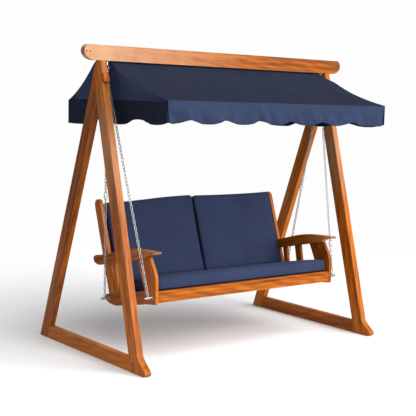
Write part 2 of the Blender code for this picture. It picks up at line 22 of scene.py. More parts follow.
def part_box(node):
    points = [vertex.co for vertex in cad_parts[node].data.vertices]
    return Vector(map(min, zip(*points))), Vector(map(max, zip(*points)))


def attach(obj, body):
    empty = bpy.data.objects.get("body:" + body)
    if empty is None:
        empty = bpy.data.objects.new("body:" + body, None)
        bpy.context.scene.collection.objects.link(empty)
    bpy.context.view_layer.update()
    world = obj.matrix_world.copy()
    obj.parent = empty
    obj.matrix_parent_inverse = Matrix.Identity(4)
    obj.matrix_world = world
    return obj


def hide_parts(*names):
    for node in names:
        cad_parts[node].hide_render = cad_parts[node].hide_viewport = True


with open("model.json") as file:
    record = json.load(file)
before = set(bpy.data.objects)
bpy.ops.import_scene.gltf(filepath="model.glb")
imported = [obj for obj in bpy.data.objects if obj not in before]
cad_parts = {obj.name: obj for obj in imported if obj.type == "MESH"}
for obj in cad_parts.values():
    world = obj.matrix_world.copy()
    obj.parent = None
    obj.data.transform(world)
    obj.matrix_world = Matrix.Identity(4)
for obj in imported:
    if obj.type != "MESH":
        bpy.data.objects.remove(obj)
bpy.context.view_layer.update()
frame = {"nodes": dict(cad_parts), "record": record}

LOG = logging.getLogger("swing_bench")
Colour = tuple[float, float, float]
Socket = bpy.types.NodeSocket


class Side(Enum):
    """The two ends of the bench, with the sign of X."""

    LEFT = -1
    RIGHT = 1

    @property
    def word(self) -> str:
        """The side's name as nodes spell it."""
        return self.name.lower()


class End(Enum):
    """Front or rear, with the sign of Y."""

    FRONT = -1
    REAR = 1

    @property
    def word(self) -> str:
        """The end's name as nodes spell it."""
        return self.name.lower()


class Body(Enum):
    """The two bodies of the bench."""

    STAND = "frame"
    SWING = "swing"


class Slot(Enum):
    """The record's material slots."""

    TEAK = "teak"
    CANOPY = "canopy_canvas"
    CUSHION = "cushion_canvas"
    STEEL = "zinc_steel"


# ---- small tools ----


def blend_between(low: float, high: float, value: float) -> float:
    """Eases from 0 at low to 1 at high."""
    share = min(1.0, max(0.0, (value - low) / (high - low)))
    return share * share * (3 - 2 * share)


@dataclass(frozen=True)
class Lie:
    """Where a board or block lies: its centre, its own axes from longest to shortest, and its sizes."""

    centre: Vector
    axes: tuple[Vector, Vector, Vector]
    sizes: tuple[float, float, float]

    @classmethod
    def of(cls, node: str) -> "Lie":
        """Measures a frame piece.

        Args:
            node: the piece's name in the frame.

        Returns:
            Its lie, with each axis pointing to the positive side.
        """
        mesh = frame["nodes"][node].data
        points = np.array([v.co for v in mesh.vertices], float).reshape(-1, 3)
        middle = (points.min(0) + points.max(0)) / 2
        _, _, rows = np.linalg.svd(points - points.mean(0), full_matrices=False)
        rows = [row if row[np.abs(row).argmax()] > 0 else -row for row in rows]
        spread = [(points @ row).max() - (points @ row).min() for row in rows]
        order = np.argsort(spread)[::-1]
        axes = tuple(Vector(rows[i]) for i in order)
        return cls(Vector(middle), axes, tuple(float(spread[i]) for i in order))


def link_mesh(name: str, points: Sequence, faces: Sequence, material: bpy.types.Material) -> bpy.types.Object:
    """Makes a smooth-shaded piece from points and faces.

    Args:
        name: the piece's name.
        points: corner points in metres.
        faces: tuples of point numbers.
        material: its finish.

    Returns:
        The new object, linked to the scene.
    """
    mesh = bpy.data.meshes.new(name)
    mesh.from_pydata([tuple(p) for p in points], [], [tuple(f) for f in faces])
    mesh.materials.append(material)
    mesh.shade_smooth()
    piece = bpy.data.objects.new(name, mesh)
    bpy.context.scene.collection.objects.link(piece)
    return piece


def settle(piece: bpy.types.Object, body: Body, replaces: Iterable[str] = ()) -> bpy.types.Object:
    """Fastens a finished piece to its body.

    Args:
        piece: the object, in place.
        body: the body that it moves with.
        replaces: the frame pieces that it stands for.

    Returns:
        The same object.
    """
    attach(piece, body.value)
    if replaces:
        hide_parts(*replaces)
    LOG.info("%s: %d faces on %s", piece.name, len(piece.data.polygons), body.value)
    return piece


def sweep(path: Sequence[Vector], radii: Sequence[float], sides: int, closed: bool,
          flat: Callable[[int], Vector] | None = None) -> tuple[list[Vector], list[tuple[int, ...]]]:
    """Sweeps a round section along a path.

    Args:
        path: the centre line's points.
        radii: the section's radius at each point.
        sides: corners of the section.
        closed: whether the path joins up with its start.
        flat: gives the direction of the section's first corner at a point, if it matters.

    Returns:
        The points and faces of a closed tube.
    """
    points, faces = [], []
    count = len(path)
    across = Vector((0, 0, 1))
    for i, centre in enumerate(path):
        ahead = path[(i + 1) % count] if closed or i < count - 1 else centre
        behind = path[i - 1] if closed or i > 0 else centre
        run = (ahead - behind).normalized()
        across = flat(i) if flat else across
        across = (across - run * across.dot(run))
        if across.length < 1e-6:
            across = run.orthogonal()
        across.normalize()
        other = run.cross(across)
        for k in range(sides):
            turn = math.tau * k / sides
            points.append(centre + (across * math.cos(turn) + other * math.sin(turn)) * radii[i])
    for i in range(count if closed else count - 1):
        for k in range(sides):
            a, b = i * sides, (i + 1) % count * sides
            faces.append((a + k, a + (k + 1) % sides, b + (k + 1) % sides, b + k))
    if not closed:
        faces.append(tuple(reversed(range(sides))))
        faces.append(tuple((count - 1) * sides + k for k in range(sides)))
    return points, faces


@dataclass
class Batch:
    """Points and faces of several solids that make one piece."""

    points: list[Vector] = field(default_factory=list)
    faces: list[tuple[int, ...]] = field(default_factory=list)

    def add(self, points: Sequence[Vector], faces: Sequence[tuple[int, ...]],
            place: Matrix | None = None) -> None:
        """Adds one solid.

        Args:
            points: its points.
            faces: its faces.
            place: moves its points, if given.
        """
        first = len(self.points)
        self.points += [place @ p for p in points] if place else list(points)
        self.faces += [tuple(first + i for i in face) for face in faces]

    def piece(self, name: str, material: bpy.types.Material) -> bpy.types.Object:
        """The solids as one object."""
        return link_mesh(name, self.points, self.faces, material)


# ---- shader building ----


class Graph:
    """A node tree with short calls to fill it."""

    def __init__(self, tree: bpy.types.NodeTree) -> None:
        """Keeps the tree."""
        self.tree = tree

    def add(self, kind: str, inputs: dict | None = None, **settings: object) -> bpy.types.Node:
        """Adds a node.

        Args:
            kind: the node type's name without its ShaderNode prefix.
            inputs: a value or an output socket for each input's name or number.
            settings: the node's own properties.

        Returns:
            The new node.
        """
        node = self.tree.nodes.new("ShaderNode" + kind)
        for name, value in settings.items():
            setattr(node, name, value)
        for name, value in (inputs or {}).items():
            self.feed(node.inputs[name], value)
        return node

    def feed(self, socket: Socket, value: object) -> None:
        """Links an output to the socket, or sets the socket's value."""
        if isinstance(value, Socket):
            self.tree.links.new(value, socket)
        else:
            socket.default_value = value

    def sum(self, operation: str, a: object, b: object = 0.0, limit: bool = False) -> Socket:
        """A Math node's result."""
        return self.add("Math", {0: a, 1: b}, operation=operation, use_clamp=limit).outputs[0]

    def vector(self, operation: str, a: object, b: object) -> Socket:
        """A Vector Math node's vector."""
        return self.add("VectorMath", {0: a, 1: b}, operation=operation).outputs["Vector"]

    def dot(self, a: object, b: object) -> Socket:
        """A dot product."""
        return self.add("VectorMath", {0: a, 1: b}, operation="DOT_PRODUCT").outputs["Value"]

    def span(self, value: object, low: float, high: float, start: float = 0.0, end: float = 1.0) -> Socket:
        """Maps low..high to start..end and stops there."""
        inputs = {"Value": value, "From Min": low, "From Max": high, "To Min": start, "To Max": end}
        return self.add("MapRange", inputs, clamp=True).outputs["Result"]

    def mix(self, share: object, a: object, b: object, kind: str = "MIX") -> Socket:
        """Mixes two colours."""
        node = self.add("Mix", {"Factor": share}, data_type="RGBA", blend_type=kind)
        for name, value in (("A", a), ("B", b)):
            socket = next(s for s in node.inputs if s.name == name and s.type == "RGBA")
            self.feed(socket, value if isinstance(value, Socket) else (*value, 1.0))
        return next(s for s in node.outputs if s.type == "RGBA")

    def noise(self, place: object, scale: float = 1.0, detail: float = 2.0, rough: float = 0.5) -> Socket:
        """A noise value of about 0.5 on average."""
        inputs = {"Vector": place, "Scale": scale, "Detail": detail, "Roughness": rough}
        return self.add("TexNoise", inputs).outputs[0]

    def group(self, tree: bpy.types.NodeTree, inputs: dict) -> bpy.types.Node:
        """Places a shared group with its own values."""
        node = self.add("Group", node_tree=tree)
        for name, value in inputs.items():
            self.feed(node.inputs[name], value)
        return node


def new_group(name: str, inputs: dict[str, tuple[str, object]],
              outputs: dict[str, str]) -> tuple[Graph, dict, dict]:
    """Starts a shared node group.

    Args:
        name: the group's name.
        inputs: each input's socket type and first value.
        outputs: each output's socket type.

    Returns:
        The group's graph, its input sockets by name, and the sockets that its outputs read.
    """
    tree = bpy.data.node_groups.new(name, "ShaderNodeTree")
    for label, (kind, value) in inputs.items():
        socket = tree.interface.new_socket(label, in_out="INPUT", socket_type="NodeSocket" + kind)
        if value is not None:
            socket.default_value = value
    for label, kind in outputs.items():
        tree.interface.new_socket(label, in_out="OUTPUT", socket_type="NodeSocket" + kind)
    entry, leave = tree.nodes.new("NodeGroupInput"), tree.nodes.new("NodeGroupOutput")
    return Graph(tree), {s.name: s for s in entry.outputs}, {s.name: s for s in leave.inputs}


@functools.cache
def timber_grain() -> bpy.types.NodeTree:
    """Grain of a sawn board whose first coordinate runs along it: tone, fibre, pores and height."""
    graph, given, out = new_group(
        "timber grain",
        {"Place": ("Vector", None), "Seed": ("Float", 0.0), "Ring width": ("Float", 0.024),
         "Figure": ("Float", 1.0)},
        {"Tone": "Float", "Fibre": "Float", "Pores": "Float", "Height": "Float"})
    shift = graph.add("CombineXYZ", {i: graph.sum("MULTIPLY", given["Seed"], step)
                                     for i, step in enumerate((1.7, 0.93, 2.31))}).outputs[0]
    place = graph.vector("ADD", given["Place"], shift)

    def stretched(along: float, across: float, detail: float) -> Socket:
        """Noise with its features drawn out along the board."""
        return graph.noise(graph.vector("MULTIPLY", place, (along, across, across)), 1.0, detail, 0.55)

    drift = graph.span(stretched(0.9, 11.0, 3), 0.3, 0.7)
    streak = graph.span(stretched(2.2, 62.0, 3), 0.32, 0.68)
    fibre = stretched(8.0, 300.0, 2)
    pores = graph.span(stretched(26.0, 640.0, 1), 0.60, 0.72)
    warped = graph.vector("MULTIPLY", place, (0.22, 1.0, 1.0))
    scale = graph.sum("DIVIDE", 0.314, given["Ring width"])
    bands = {"Vector": warped, "Scale": scale, "Distortion": 4.5, "Detail": 2.0, "Detail Scale": 1.6}
    rings = graph.add("TexWave", bands, wave_type="BANDS", bands_direction="DIAGONAL").outputs[1]
    parts = ((drift, 0.34), (streak, 0.36), (fibre, 0.10))
    tone = graph.sum("MULTIPLY", graph.sum("MULTIPLY", rings, given["Figure"]), 0.20)
    for value, share in parts:
        tone = graph.sum("ADD", tone, graph.sum("MULTIPLY", value, share))
    height = graph.sum("SUBTRACT", graph.sum("MULTIPLY", fibre, 0.5), graph.sum("MULTIPLY", pores, 0.4))
    for label, value in (("Tone", tone), ("Fibre", fibre), ("Pores", pores), ("Height", height)):
        graph.feed(out[label], value)
    return graph.tree


@functools.cache
def edge_wear() -> bpy.types.NodeTree:
    """A broken mask along a piece's arrises."""
    graph, given, out = new_group(
        "edge wear", {"Place": ("Vector", None), "Width": ("Float", 0.006), "Patchiness": ("Float", 0.5)},
        {"Mask": "Float"})
    rounded = graph.add("Bevel", {"Radius": given["Width"]}, samples=4).outputs[0]
    flat = graph.add("NewGeometry").outputs["Normal"]
    turned = graph.span(graph.sum("SUBTRACT", 1.0, graph.dot(rounded, flat)), 0.01, 0.16)
    patches = graph.span(graph.noise(given["Place"], 38.0, 3.0), 0.38, 0.62)
    kept = graph.sum("SUBTRACT", 1.0, graph.sum("MULTIPLY", given["Patchiness"], patches))
    graph.feed(out["Mask"], graph.sum("MULTIPLY", turned, kept, True))
    return graph.tree


@functools.cache
def canvas_weave() -> bpy.types.NodeTree:
    """Plain weave on any slope of cloth: thread height, slubs and slow fading."""
    graph, given, out = new_group(
        "canvas weave", {"Place": ("Vector", None), "Facing": ("Vector", None), "Thread": ("Float", 0.0014)},
        {"Height": "Float", "Slub": "Float", "Fade": "Float"})
    turns = graph.sum("DIVIDE", math.pi, given["Thread"])
    place = graph.add("SeparateXYZ", {0: given["Place"]}).outputs
    facing = graph.add("SeparateXYZ", {0: given["Facing"]}).outputs
    waves = [graph.sum("SINE", graph.sum("MULTIPLY", place[i], turns)) for i in range(3)]
    height: object = 0.0
    for i in range(3):
        weight = graph.sum("MULTIPLY", facing[i], facing[i])
        crossing = graph.sum("MULTIPLY", waves[(i + 1) % 3], waves[(i + 2) % 3])
        height = graph.sum("ADD", height, graph.sum("MULTIPLY", weight, crossing))
    slubs = [graph.noise(graph.vector("MULTIPLY", given["Place"], stretch), 1.0, 2.0)
             for stretch in ((40.0, 420.0, 420.0), (420.0, 420.0, 40.0))]
    slub = graph.span(graph.sum("ADD", *slubs), 0.8, 1.2)
    graph.feed(out["Height"], height)
    graph.feed(out["Slub"], slub)
    graph.feed(out["Fade"], graph.span(graph.noise(given["Place"], 3.4, 3.0, 0.55), 0.3, 0.7))
    return graph.tree


@functools.cache
def handling_marks() -> bpy.types.NodeTree:
    """Soft blotches and fine scuffs that vary a surface's sheen."""
    graph, given, out = new_group("handling marks", {"Place": ("Vector", None), "Size": ("Float", 0.06)},
                                  {"Blotch": "Float", "Scuff": "Float"})
    scale = graph.sum("DIVIDE", 1.0, given["Size"])
    blotch = graph.add("TexNoise", {"Vector": given["Place"], "Scale": scale, "Detail": 3.0}).outputs[0]
    fine = graph.add("TexNoise", {"Vector": graph.vector("MULTIPLY", given["Place"], (3.0, 1.0, 1.0)),
                                  "Scale": graph.sum("MULTIPLY", scale, 9.0), "Detail": 4.0}).outputs[0]
    graph.feed(out["Blotch"], graph.span(blotch, 0.32, 0.68))
    graph.feed(out["Scuff"], graph.span(fine, 0.52, 0.72))
    return graph.tree


def start_material(name: str) -> tuple[bpy.types.Material, Graph, bpy.types.Node]:
    """An empty material with its shader."""
    material = bpy.data.materials.new(name)
    material.use_nodes = True
    return material, Graph(material.node_tree), material.node_tree.nodes["Principled BSDF"]


def add_bump(graph: Graph, shader: bpy.types.Node, height: Socket, depth: float) -> None:
    """Feeds a height to the shader's normal, with its depth in metres."""
    bump = graph.add("Bump", {"Height": height, "Distance": depth})
    graph.feed(shader.inputs["Normal"], bump.outputs[0])


@dataclass(frozen=True)
class TeakFinish:
    """Oiled hardwood: darker heart, golden body, pale arrises that are partly rubbed pale and partly a
    painted edge highlight.
    """

    dark: Colour = (0.110, 0.026, 0.003)
    body: Colour = (0.360, 0.084, 0.001)
    light: Colour = (0.520, 0.165, 0.006)
    # pale arrises: partly rubbed pale, partly a painted highlight along the edges
    worn: Colour = (0.500, 0.250, 0.100)
    # painted highlight: the pale tint of the stretches that stand for light falling on the wood
    bleached: Colour = (0.520, 0.290, 0.160)
    gloss: float = 0.16
    ring_width: float = 0.024
    roughness: tuple[float, float] = (0.34, 0.56)
    pore_depth: float = 0.0005

    def dress(self, name: str, along: Vector, seed: float,
              highlight_patch: "Bleach | None" = None) -> bpy.types.Material:
        """Makes the material of one board.

        Args:
            name: the board's name.
            along: the direction that its grain runs in.
            seed: sets its own figure and tone.
            highlight_patch: where a paler stretch of painted highlight lies on the board, if anywhere.

        Returns:
            The material.
        """
        material, graph, shader = start_material("teak " + name)
        where = graph.add("TexCoord")
        turn = along.rotation_difference(Vector((1, 0, 0))).to_euler()
        place = graph.add("Mapping", {"Vector": where.outputs["Object"], "Rotation": turn}).outputs[0]
        figure = 0.7 + 0.5 * math.sin(seed * 5.1)
        grain = graph.group(timber_grain(), {"Place": place, "Seed": seed, "Ring width": self.ring_width,
                                             "Figure": figure}).outputs
        marks = graph.group(handling_marks(), {"Place": place, "Size": 0.09}).outputs
        tone = graph.sum("ADD", grain["Tone"], 0.10 * math.sin(seed * 3.7))
        colour = graph.mix(graph.span(tone, 0.12, 0.50), self.dark, self.body)
        colour = graph.mix(graph.span(tone, 0.46, 0.86), colour, self.light)
        colour = graph.mix(graph.sum("MULTIPLY", grain["Pores"], 0.45), colour, self.dark)
        colour = graph.mix(graph.sum("MULTIPLY", marks["Blotch"], 0.12), colour, self.dark)
        # painted highlight: a paler stretch round one point, standing for light on the wood
        if highlight_patch:
            colour = graph.mix(highlight_patch.share(graph, where.outputs["Object"]), colour, self.bleached)
        end = graph.span(graph.sum("ABSOLUTE", graph.dot(where.outputs["Normal"], along)), 0.80, 0.95)
        colour = graph.mix(graph.sum("MULTIPLY", end, 0.55), colour, self.dark)
        # pale arrises: partly rubbed pale, partly a painted highlight along the edges
        arris_share = graph.group(edge_wear(), {"Place": where.outputs["Object"], "Patchiness": 0.6}).outputs["Mask"]
        colour = graph.mix(graph.sum("MULTIPLY", arris_share, 0.55), colour, self.worn)
        graph.feed(shader.inputs["Base Color"], colour)
        matt = graph.sum("ADD", graph.sum("MULTIPLY", grain["Fibre"], 0.5),
                         graph.sum("MULTIPLY", marks["Scuff"], 0.5))
        graph.feed(shader.inputs["Roughness"], graph.span(matt, 0.1, 0.9, *self.roughness))
        shader.inputs["Specular IOR Level"].default_value = self.gloss
        add_bump(graph, shader, grain["Height"], self.pore_depth)
        return material


@dataclass(frozen=True)
class Bleach:
    """A painted highlight: a paler stretch of a board round a point."""

    centre: Vector
    reach: float
    strength: float = 0.8

    def share(self, graph: Graph, place: Socket) -> Socket:
        """How strong the painted highlight is at a point, from 0 to 1."""
        reading = graph.add("VectorMath", {0: place, 1: tuple(self.centre)}, operation="DISTANCE")
        away = reading.outputs["Value"]
        fade = graph.span(away, 0.0, self.reach, self.strength, 0.0)
        patches = graph.span(graph.noise(place, 9.0, 3.0), 0.25, 0.75, 0.7, 1.2)
        return graph.sum("MULTIPLY", fade, patches, True)


@dataclass(frozen=True)
class CanvasFinish:
    """Woven navy outdoor canvas."""

    name: str
    base: Colour
    faded: Colour
    thread: float = 0.0016
    weave_depth: float = 0.0004
    roughness: float = 0.86
    sheen: float = 0.0
    gloss: float = 0.12
    # painted shade on the sky-facing slopes and side valances, painted light on the gables above the eaves
    weathered: bool = False          # darker where it faces the sky and on its side valances
    eave_level: float = 1.622

    def dress(self) -> bpy.types.Material:
        """The material."""
        material, graph, shader = start_material(self.name)
        where = graph.add("TexCoord")
        place = where.outputs["Object"]
        weave = graph.group(canvas_weave(), {"Place": place, "Facing": where.outputs["Normal"],
                                             "Thread": self.thread}).outputs
        marks = graph.group(handling_marks(), {"Place": place, "Size": 0.12}).outputs
        colour = graph.mix(graph.sum("MULTIPLY", weave["Fade"], 0.5), self.base, self.faded)
        colour = graph.mix(graph.sum("MULTIPLY", weave["Slub"], 0.22), colour, self.faded)
        # painted shade: the hollows of the weave darkened
        weave_hollow_shade = graph.span(weave["Height"], -1.0, 0.4, 0.35, 0.0)
        colour = graph.mix(weave_hollow_shade, colour, tuple(0.45 * c for c in self.base))
        arris_share = graph.group(edge_wear(), {"Place": place, "Width": 0.004, "Patchiness": 0.7}).outputs["Mask"]
        colour = graph.mix(graph.sum("MULTIPLY", arris_share, 0.3), colour, self.faded)
        if self.weathered:
            colour = self.weather(graph, place, where.outputs["Normal"], colour)
        graph.feed(shader.inputs["Base Color"], colour)
        rough = graph.span(marks["Blotch"], 0.0, 1.0, self.roughness - 0.07, self.roughness + 0.07)
        graph.feed(shader.inputs["Roughness"], rough)
        shader.inputs["Sheen Weight"].default_value = self.sheen
        shader.inputs["Sheen Roughness"].default_value = 0.35
        shader.inputs["Sheen Tint"].default_value = (0.62, 0.72, 1.0, 1.0)
        shader.inputs["Specular IOR Level"].default_value = self.gloss
        height = graph.sum("ADD", weave["Height"], graph.sum("MULTIPLY", weave["Slub"], 0.6))
        add_bump(graph, shader, height, self.weave_depth)
        return material

    def weather(self, graph: Graph, place: Socket, facing: Socket, colour: Socket) -> Socket:
        """Paints shade onto the cloth that faces the sky and onto the side valances below the eaves, and
        paints light onto the gables above them.
        """
        up = graph.span(graph.sum("ABSOLUTE", graph.dot(facing, (0.0, 0.0, 1.0))), 0.45, 0.85)
        aside = graph.span(graph.sum("ABSOLUTE", graph.dot(facing, (1.0, 0.0, 0.0))), 0.6, 0.9)
        height = graph.dot(place, (0.0, 0.0, 1.0))
        low = graph.span(height, self.eave_level - 0.004, self.eave_level + 0.004, 1, 0)
        # painted shade: sky-facing cloth and the side valances below the eaves turned darker
        shade = graph.sum("MAXIMUM", graph.sum("MULTIPLY", up, 0.64),
                          graph.sum("MULTIPLY", graph.sum("MULTIPLY", aside, low), 0.62))
        colour = graph.mix(shade, colour, tuple(0.12 * c for c in self.base))
        # painted light: the gables above the eaves turned paler
        gable = graph.sum("MULTIPLY", aside, graph.sum("SUBTRACT", 1.0, low))
        return graph.mix(graph.sum("MULTIPLY", gable, 0.9), colour, self.faded)


@dataclass(frozen=True)
class ZincFinish:
    """Bright zinc plate with spangle and a little tarnish."""

    name: str = "zinc plate"
    bright: Colour = (0.50, 0.51, 0.53)
    tarnish: Colour = (0.13, 0.13, 0.13)
    spangle: float = 0.004
    roughness: tuple[float, float] = (0.22, 0.46)

    def dress(self) -> bpy.types.Material:
        """The material."""
        material, graph, shader = start_material(self.name)
        place = graph.add("TexCoord").outputs["Object"]
        cells = graph.add("TexVoronoi", {"Vector": place, "Scale": 1 / self.spangle}).outputs["Color"]
        tone = graph.add("SeparateColor", {0: cells}).outputs[0]
        marks = graph.group(handling_marks(), {"Place": place, "Size": 0.012}).outputs
        colour = graph.mix(graph.sum("MULTIPLY", tone, 0.22), self.bright, self.tarnish)
        colour = graph.mix(graph.sum("MULTIPLY", marks["Blotch"], 0.35), colour, self.tarnish)
        graph.feed(shader.inputs["Base Color"], colour)
        shader.inputs["Metallic"].default_value = 1.0
        graph.feed(shader.inputs["Roughness"], graph.span(tone, 0.0, 1.0, *self.roughness))
        add_bump(graph, shader, marks["Scuff"], 0.0001)
        return material


@dataclass(frozen=True)
class FloorFinish:
    """A matt white floor that fades out at its rim."""

    colour: Colour = (0.81, 0.81, 0.81)
    solid_radius: float = 2.2
    rim_radius: float = 5.0

    def dress(self) -> bpy.types.Material:
        """The material."""
        material, graph, shader = start_material("studio floor")
        place = graph.add("TexCoord").outputs["Object"]
        mottle = graph.noise(place, 6.0, 4.0)
        soiled = tuple(0.9 * c for c in self.colour)
        colour = graph.mix(graph.sum("MULTIPLY", mottle, 0.05), self.colour, soiled)
        graph.feed(shader.inputs["Base Color"], colour)
        shader.inputs["Roughness"].default_value = 0.75
        shader.inputs["Specular IOR Level"].default_value = 0.2
        away = graph.add("VectorMath", {0: place}, operation="LENGTH").outputs["Value"]
        fade = graph.span(away, self.solid_radius, self.rim_radius)
        clear = graph.add("BsdfTransparent").outputs[0]
        both = graph.add("MixShader", {0: fade, 1: shader.outputs[0], 2: clear}).outputs[0]
        graph.feed(material.node_tree.nodes["Material Output"].inputs["Surface"], both)
        return material


# ---- timber ----


@dataclass
class Timber:
    """Every board of the stand and the seat, dressed with its own run of grain."""

    finish: TeakFinish = field(default_factory=TeakFinish)
    seed_step: float = 0.618

    def bleached(self) -> dict[str, Bleach]:
        """Where the boards get a painted highlight: a paler stretch round one point of each."""
        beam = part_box("ridge_beam")
        found = {"ridge_beam": Bleach(Vector((beam[0].x, beam[0].y, beam[1].z)), 1.25, 0.90)}
        for side in Side:
            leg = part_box(f"leg_front_{side.word}")
            found[f"leg_front_{side.word}"] = Bleach(Vector((leg[0].x, leg[0].y + 0.36, 1.35)), 0.45, 0.5)
            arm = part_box(f"arm_{side.word}")
            found[f"arm_{side.word}"] = Bleach(Vector((arm[0].x, arm[0].y, arm[1].z)), 0.30, 0.35)
        return found

    def dress(self) -> None:
        """Gives each board its material."""
        # painted highlight stretches for the beam, the front legs and the arms
        bleached = self.bleached()
        slots = {part["node"]: part["material_slot"] for part in frame["record"]["subparts"]}
        boards = [name for name in sorted(frame["nodes"]) if slots[name] == Slot.TEAK.value]
        for i, name in enumerate(boards):
            material = self.finish.dress(name, Lie.of(name).axes[0], i * self.seed_step, bleached.get(name))
            mesh = frame["nodes"][name].data
            mesh.materials.clear()
            mesh.materials.append(material)
        LOG.info("timber: %d boards", len(boards))


# ---- canopy ----


@dataclass(frozen=True)
class Corner:
    """One of the canopy's four lower corners."""

    half: float                      # distance from the bench's middle along X
    droop: float                     # how far it hangs below the straight eave


CORNERS: dict[tuple[End, Side], Corner] = {
    (End.FRONT, Side.LEFT): Corner(0.893, 0.002),
    (End.FRONT, Side.RIGHT): Corner(0.958, -0.003),
    (End.REAR, Side.LEFT): Corner(0.907, 0.014),
    (End.REAR, Side.RIGHT): Corner(0.920, 0.010)}


@dataclass
class Canopy:
    """One sewn sheet: a flat top, two hanging slopes, gable ends and a scalloped valance all round."""

    material: bpy.types.Material
    thread: bpy.types.Material
    thickness: float = 0.0012
    drop: float = 0.0016             # the sheet's middle below the frame's top surface
    top_half: float = 0.905          # half the width at the beam, just inside the chains
    shoulder: tuple[float, float] = (0.922, 0.948)   # half widths of the front slope's left and right sides
    sag: float = 0.024               # of the whole slope, over its curved rafters
    belly: float = 0.008             # further sag between the rafters
    rafters: tuple[float, float] = (0.822, 0.870)
    fold: float = 0.026              # swing of the valance's soft folds at the hem
    bar_gap: float = 0.0004          # how far a fold may swing in where an eave bar stands behind it
    bar_share: float = 0.30          # share of the valance that hangs in front of a bar
    crease: float = 0.0016
    scallop: float = 0.024
    scallop_pitch: float = 0.272
    first_scallop: float = -0.730
    scallop_width: float = 0.062
    side_scallop: float = 0.032
    side_pitch: float = 0.41
    side_notch: float = -0.325
    hem_drop: float = 0.0065         # how far the front lobes hang below the frame's hem
    side_hem: tuple[float, float] = (0.013, 0.043)   # the same for the sides' front and rear ends
    hem_tape: float = 0.013
    round_off: float = 0.010         # share of a slope that bends over the eave bar
    slope_rows: int = 44
    skirt_rows: int = 14
    columns: int = 170
    ridge: tuple[float, float] = (0.0, 0.0)
    flat_rear: float = 0.0
    eaves: dict[End, tuple[float, float]] = field(default_factory=dict)
    frame_hem: float = 0.0

    def __post_init__(self) -> None:
        """Reads the ridge, eaves and hem from the frame."""
        roof = {end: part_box(f"canopy_roof_{end.word}") for end in End}
        skirt = {end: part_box(f"canopy_valance_{end.word}") for end in End}
        front_high = roof[End.FRONT][1]
        self.ridge = (front_high.y, front_high.z - self.drop)
        self.flat_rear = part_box("canopy_batten")[1].y
        self.eaves = {
            End.FRONT: (roof[End.FRONT][0].y + self.drop, skirt[End.FRONT][1].z + self.drop),
            End.REAR: (roof[End.REAR][1].y - self.drop, skirt[End.REAR][1].z + self.drop)}
        self.frame_hem = skirt[End.FRONT][0].z

    @property
    def long_notches(self) -> list[float]:
        """Places along X of the notches between the front lobes."""
        return [self.first_scallop + self.scallop_pitch * i for i in range(6)]

    def long_hem(self, x: float, end: End) -> float:
        """Height of the front or rear hem."""
        notches = [notch if end is End.FRONT else -notch for notch in self.long_notches]
        lift = self.scallop * max(math.exp(-((x - notch) / self.scallop_width) ** 2) for notch in notches)
        return self.frame_hem - self.hem_drop + lift

    def side_hem_height(self, y: float) -> float:
        """Height of a side hem."""
        front, rear = self.eaves[End.FRONT][0], self.eaves[End.REAR][0]
        share = (y - front) / (rear - front)
        low = self.side_hem[0] + (self.side_hem[1] - self.side_hem[0]) * share
        wave = (1 + math.cos(math.tau * (y - self.side_notch) / self.side_pitch)) / 2
        shallow = 1 - 0.8 * blend_between(0.16, 0.34, y)
        return self.frame_hem - low + self.side_scallop * wave ** 1.3 * shallow

    def corner_hem(self, end: End) -> float:
        """Height of the hem at a corner, between its two neighbours."""
        return self.side_hem_height(self.eaves[end][0])

    def folds(self, along: float, down: float, seed: float, slant: float) -> float:
        """Outward swing of the valance.

        Args:
            along: place along the valance.
            down: 0 at the eave, 1 at the hem.
            seed: sets the folds' places.
            slant: how far a fold leans along the valance on its way down.

        Returns:
            The swing in metres.
        """
        place = along - slant * down
        swing = 1.30 * noise.noise(Vector((place * 8.5, seed, 0.3 + down * 0.5)))
        swing += 0.95 * noise.noise(Vector((place * 19.0, seed + 3.0, down * 0.9))) * (0.35 + 0.65 * down)
        free = blend_between(self.bar_share, 1.0, down)
        return max(self.fold * swing * down ** 0.85, -self.bar_gap - self.fold * free)

    def half(self, side: Side, run: float) -> float:
        """Half the roof's width on one side.

        Args:
            side: which side.
            run: -1 at the front eave, 0 at the ridge, 1 at the rear eave.

        Returns:
            The distance from the bench's middle.
        """
        reach = abs(run)
        if run < 0:
            shoulder = self.shoulder[0 if side is Side.LEFT else 1]
            corner = CORNERS[End.FRONT, side].half
            spread = self.top_half + (shoulder - self.top_half) * blend_between(0.08, 0.22, reach)
            return spread + (corner - shoulder) * blend_between(0.35, 1.05, reach)
        corner = CORNERS[End.REAR, side].half
        return self.top_half + (corner - self.top_half) * blend_between(0.12, 0.40, reach)

    def roof(self, share: float, run: float) -> Vector:
        """A point of the roof.

        Args:
            share: -1 at the left edge, 1 at the right edge.
            run: -1 at the front eave, 0 at the ridge, 1 at the rear eave.

        Returns:
            The point.
        """
        end = End.FRONT if run < 0 else End.REAR
        side = Side.LEFT if share < 0 else Side.RIGHT
        eave_y, eave_z = self.eaves[end]
        y = self.ridge[0] + (eave_y - self.ridge[0]) * abs(run)
        start = self.ridge[0] if end is End.FRONT else self.flat_rear
        fall = min(1.0, max(0.0, (y - start) / (eave_y - start)))
        x = share * self.half(side, run)
        loose = math.sin(math.pi * fall) * self.off_rafter(abs(x))
        z = self.ridge[1] + (eave_z - self.ridge[1]) * fall - 4 * self.sag * fall * (1 - fall)
        z -= self.belly * loose
        z -= CORNERS[end, side].droop * blend_between(0.95, 1.0, abs(share)) * fall ** 2
        z += self.creases(x, y) * loose
        return Vector((x, y, z))

    def off_rafter(self, reach: float) -> float:
        """0 over a rafter, 1 well away from it."""
        low, high = self.rafters
        return blend_between(0.0, 0.10, low - reach) + 0.5 * blend_between(0.0, 0.03, reach - high)

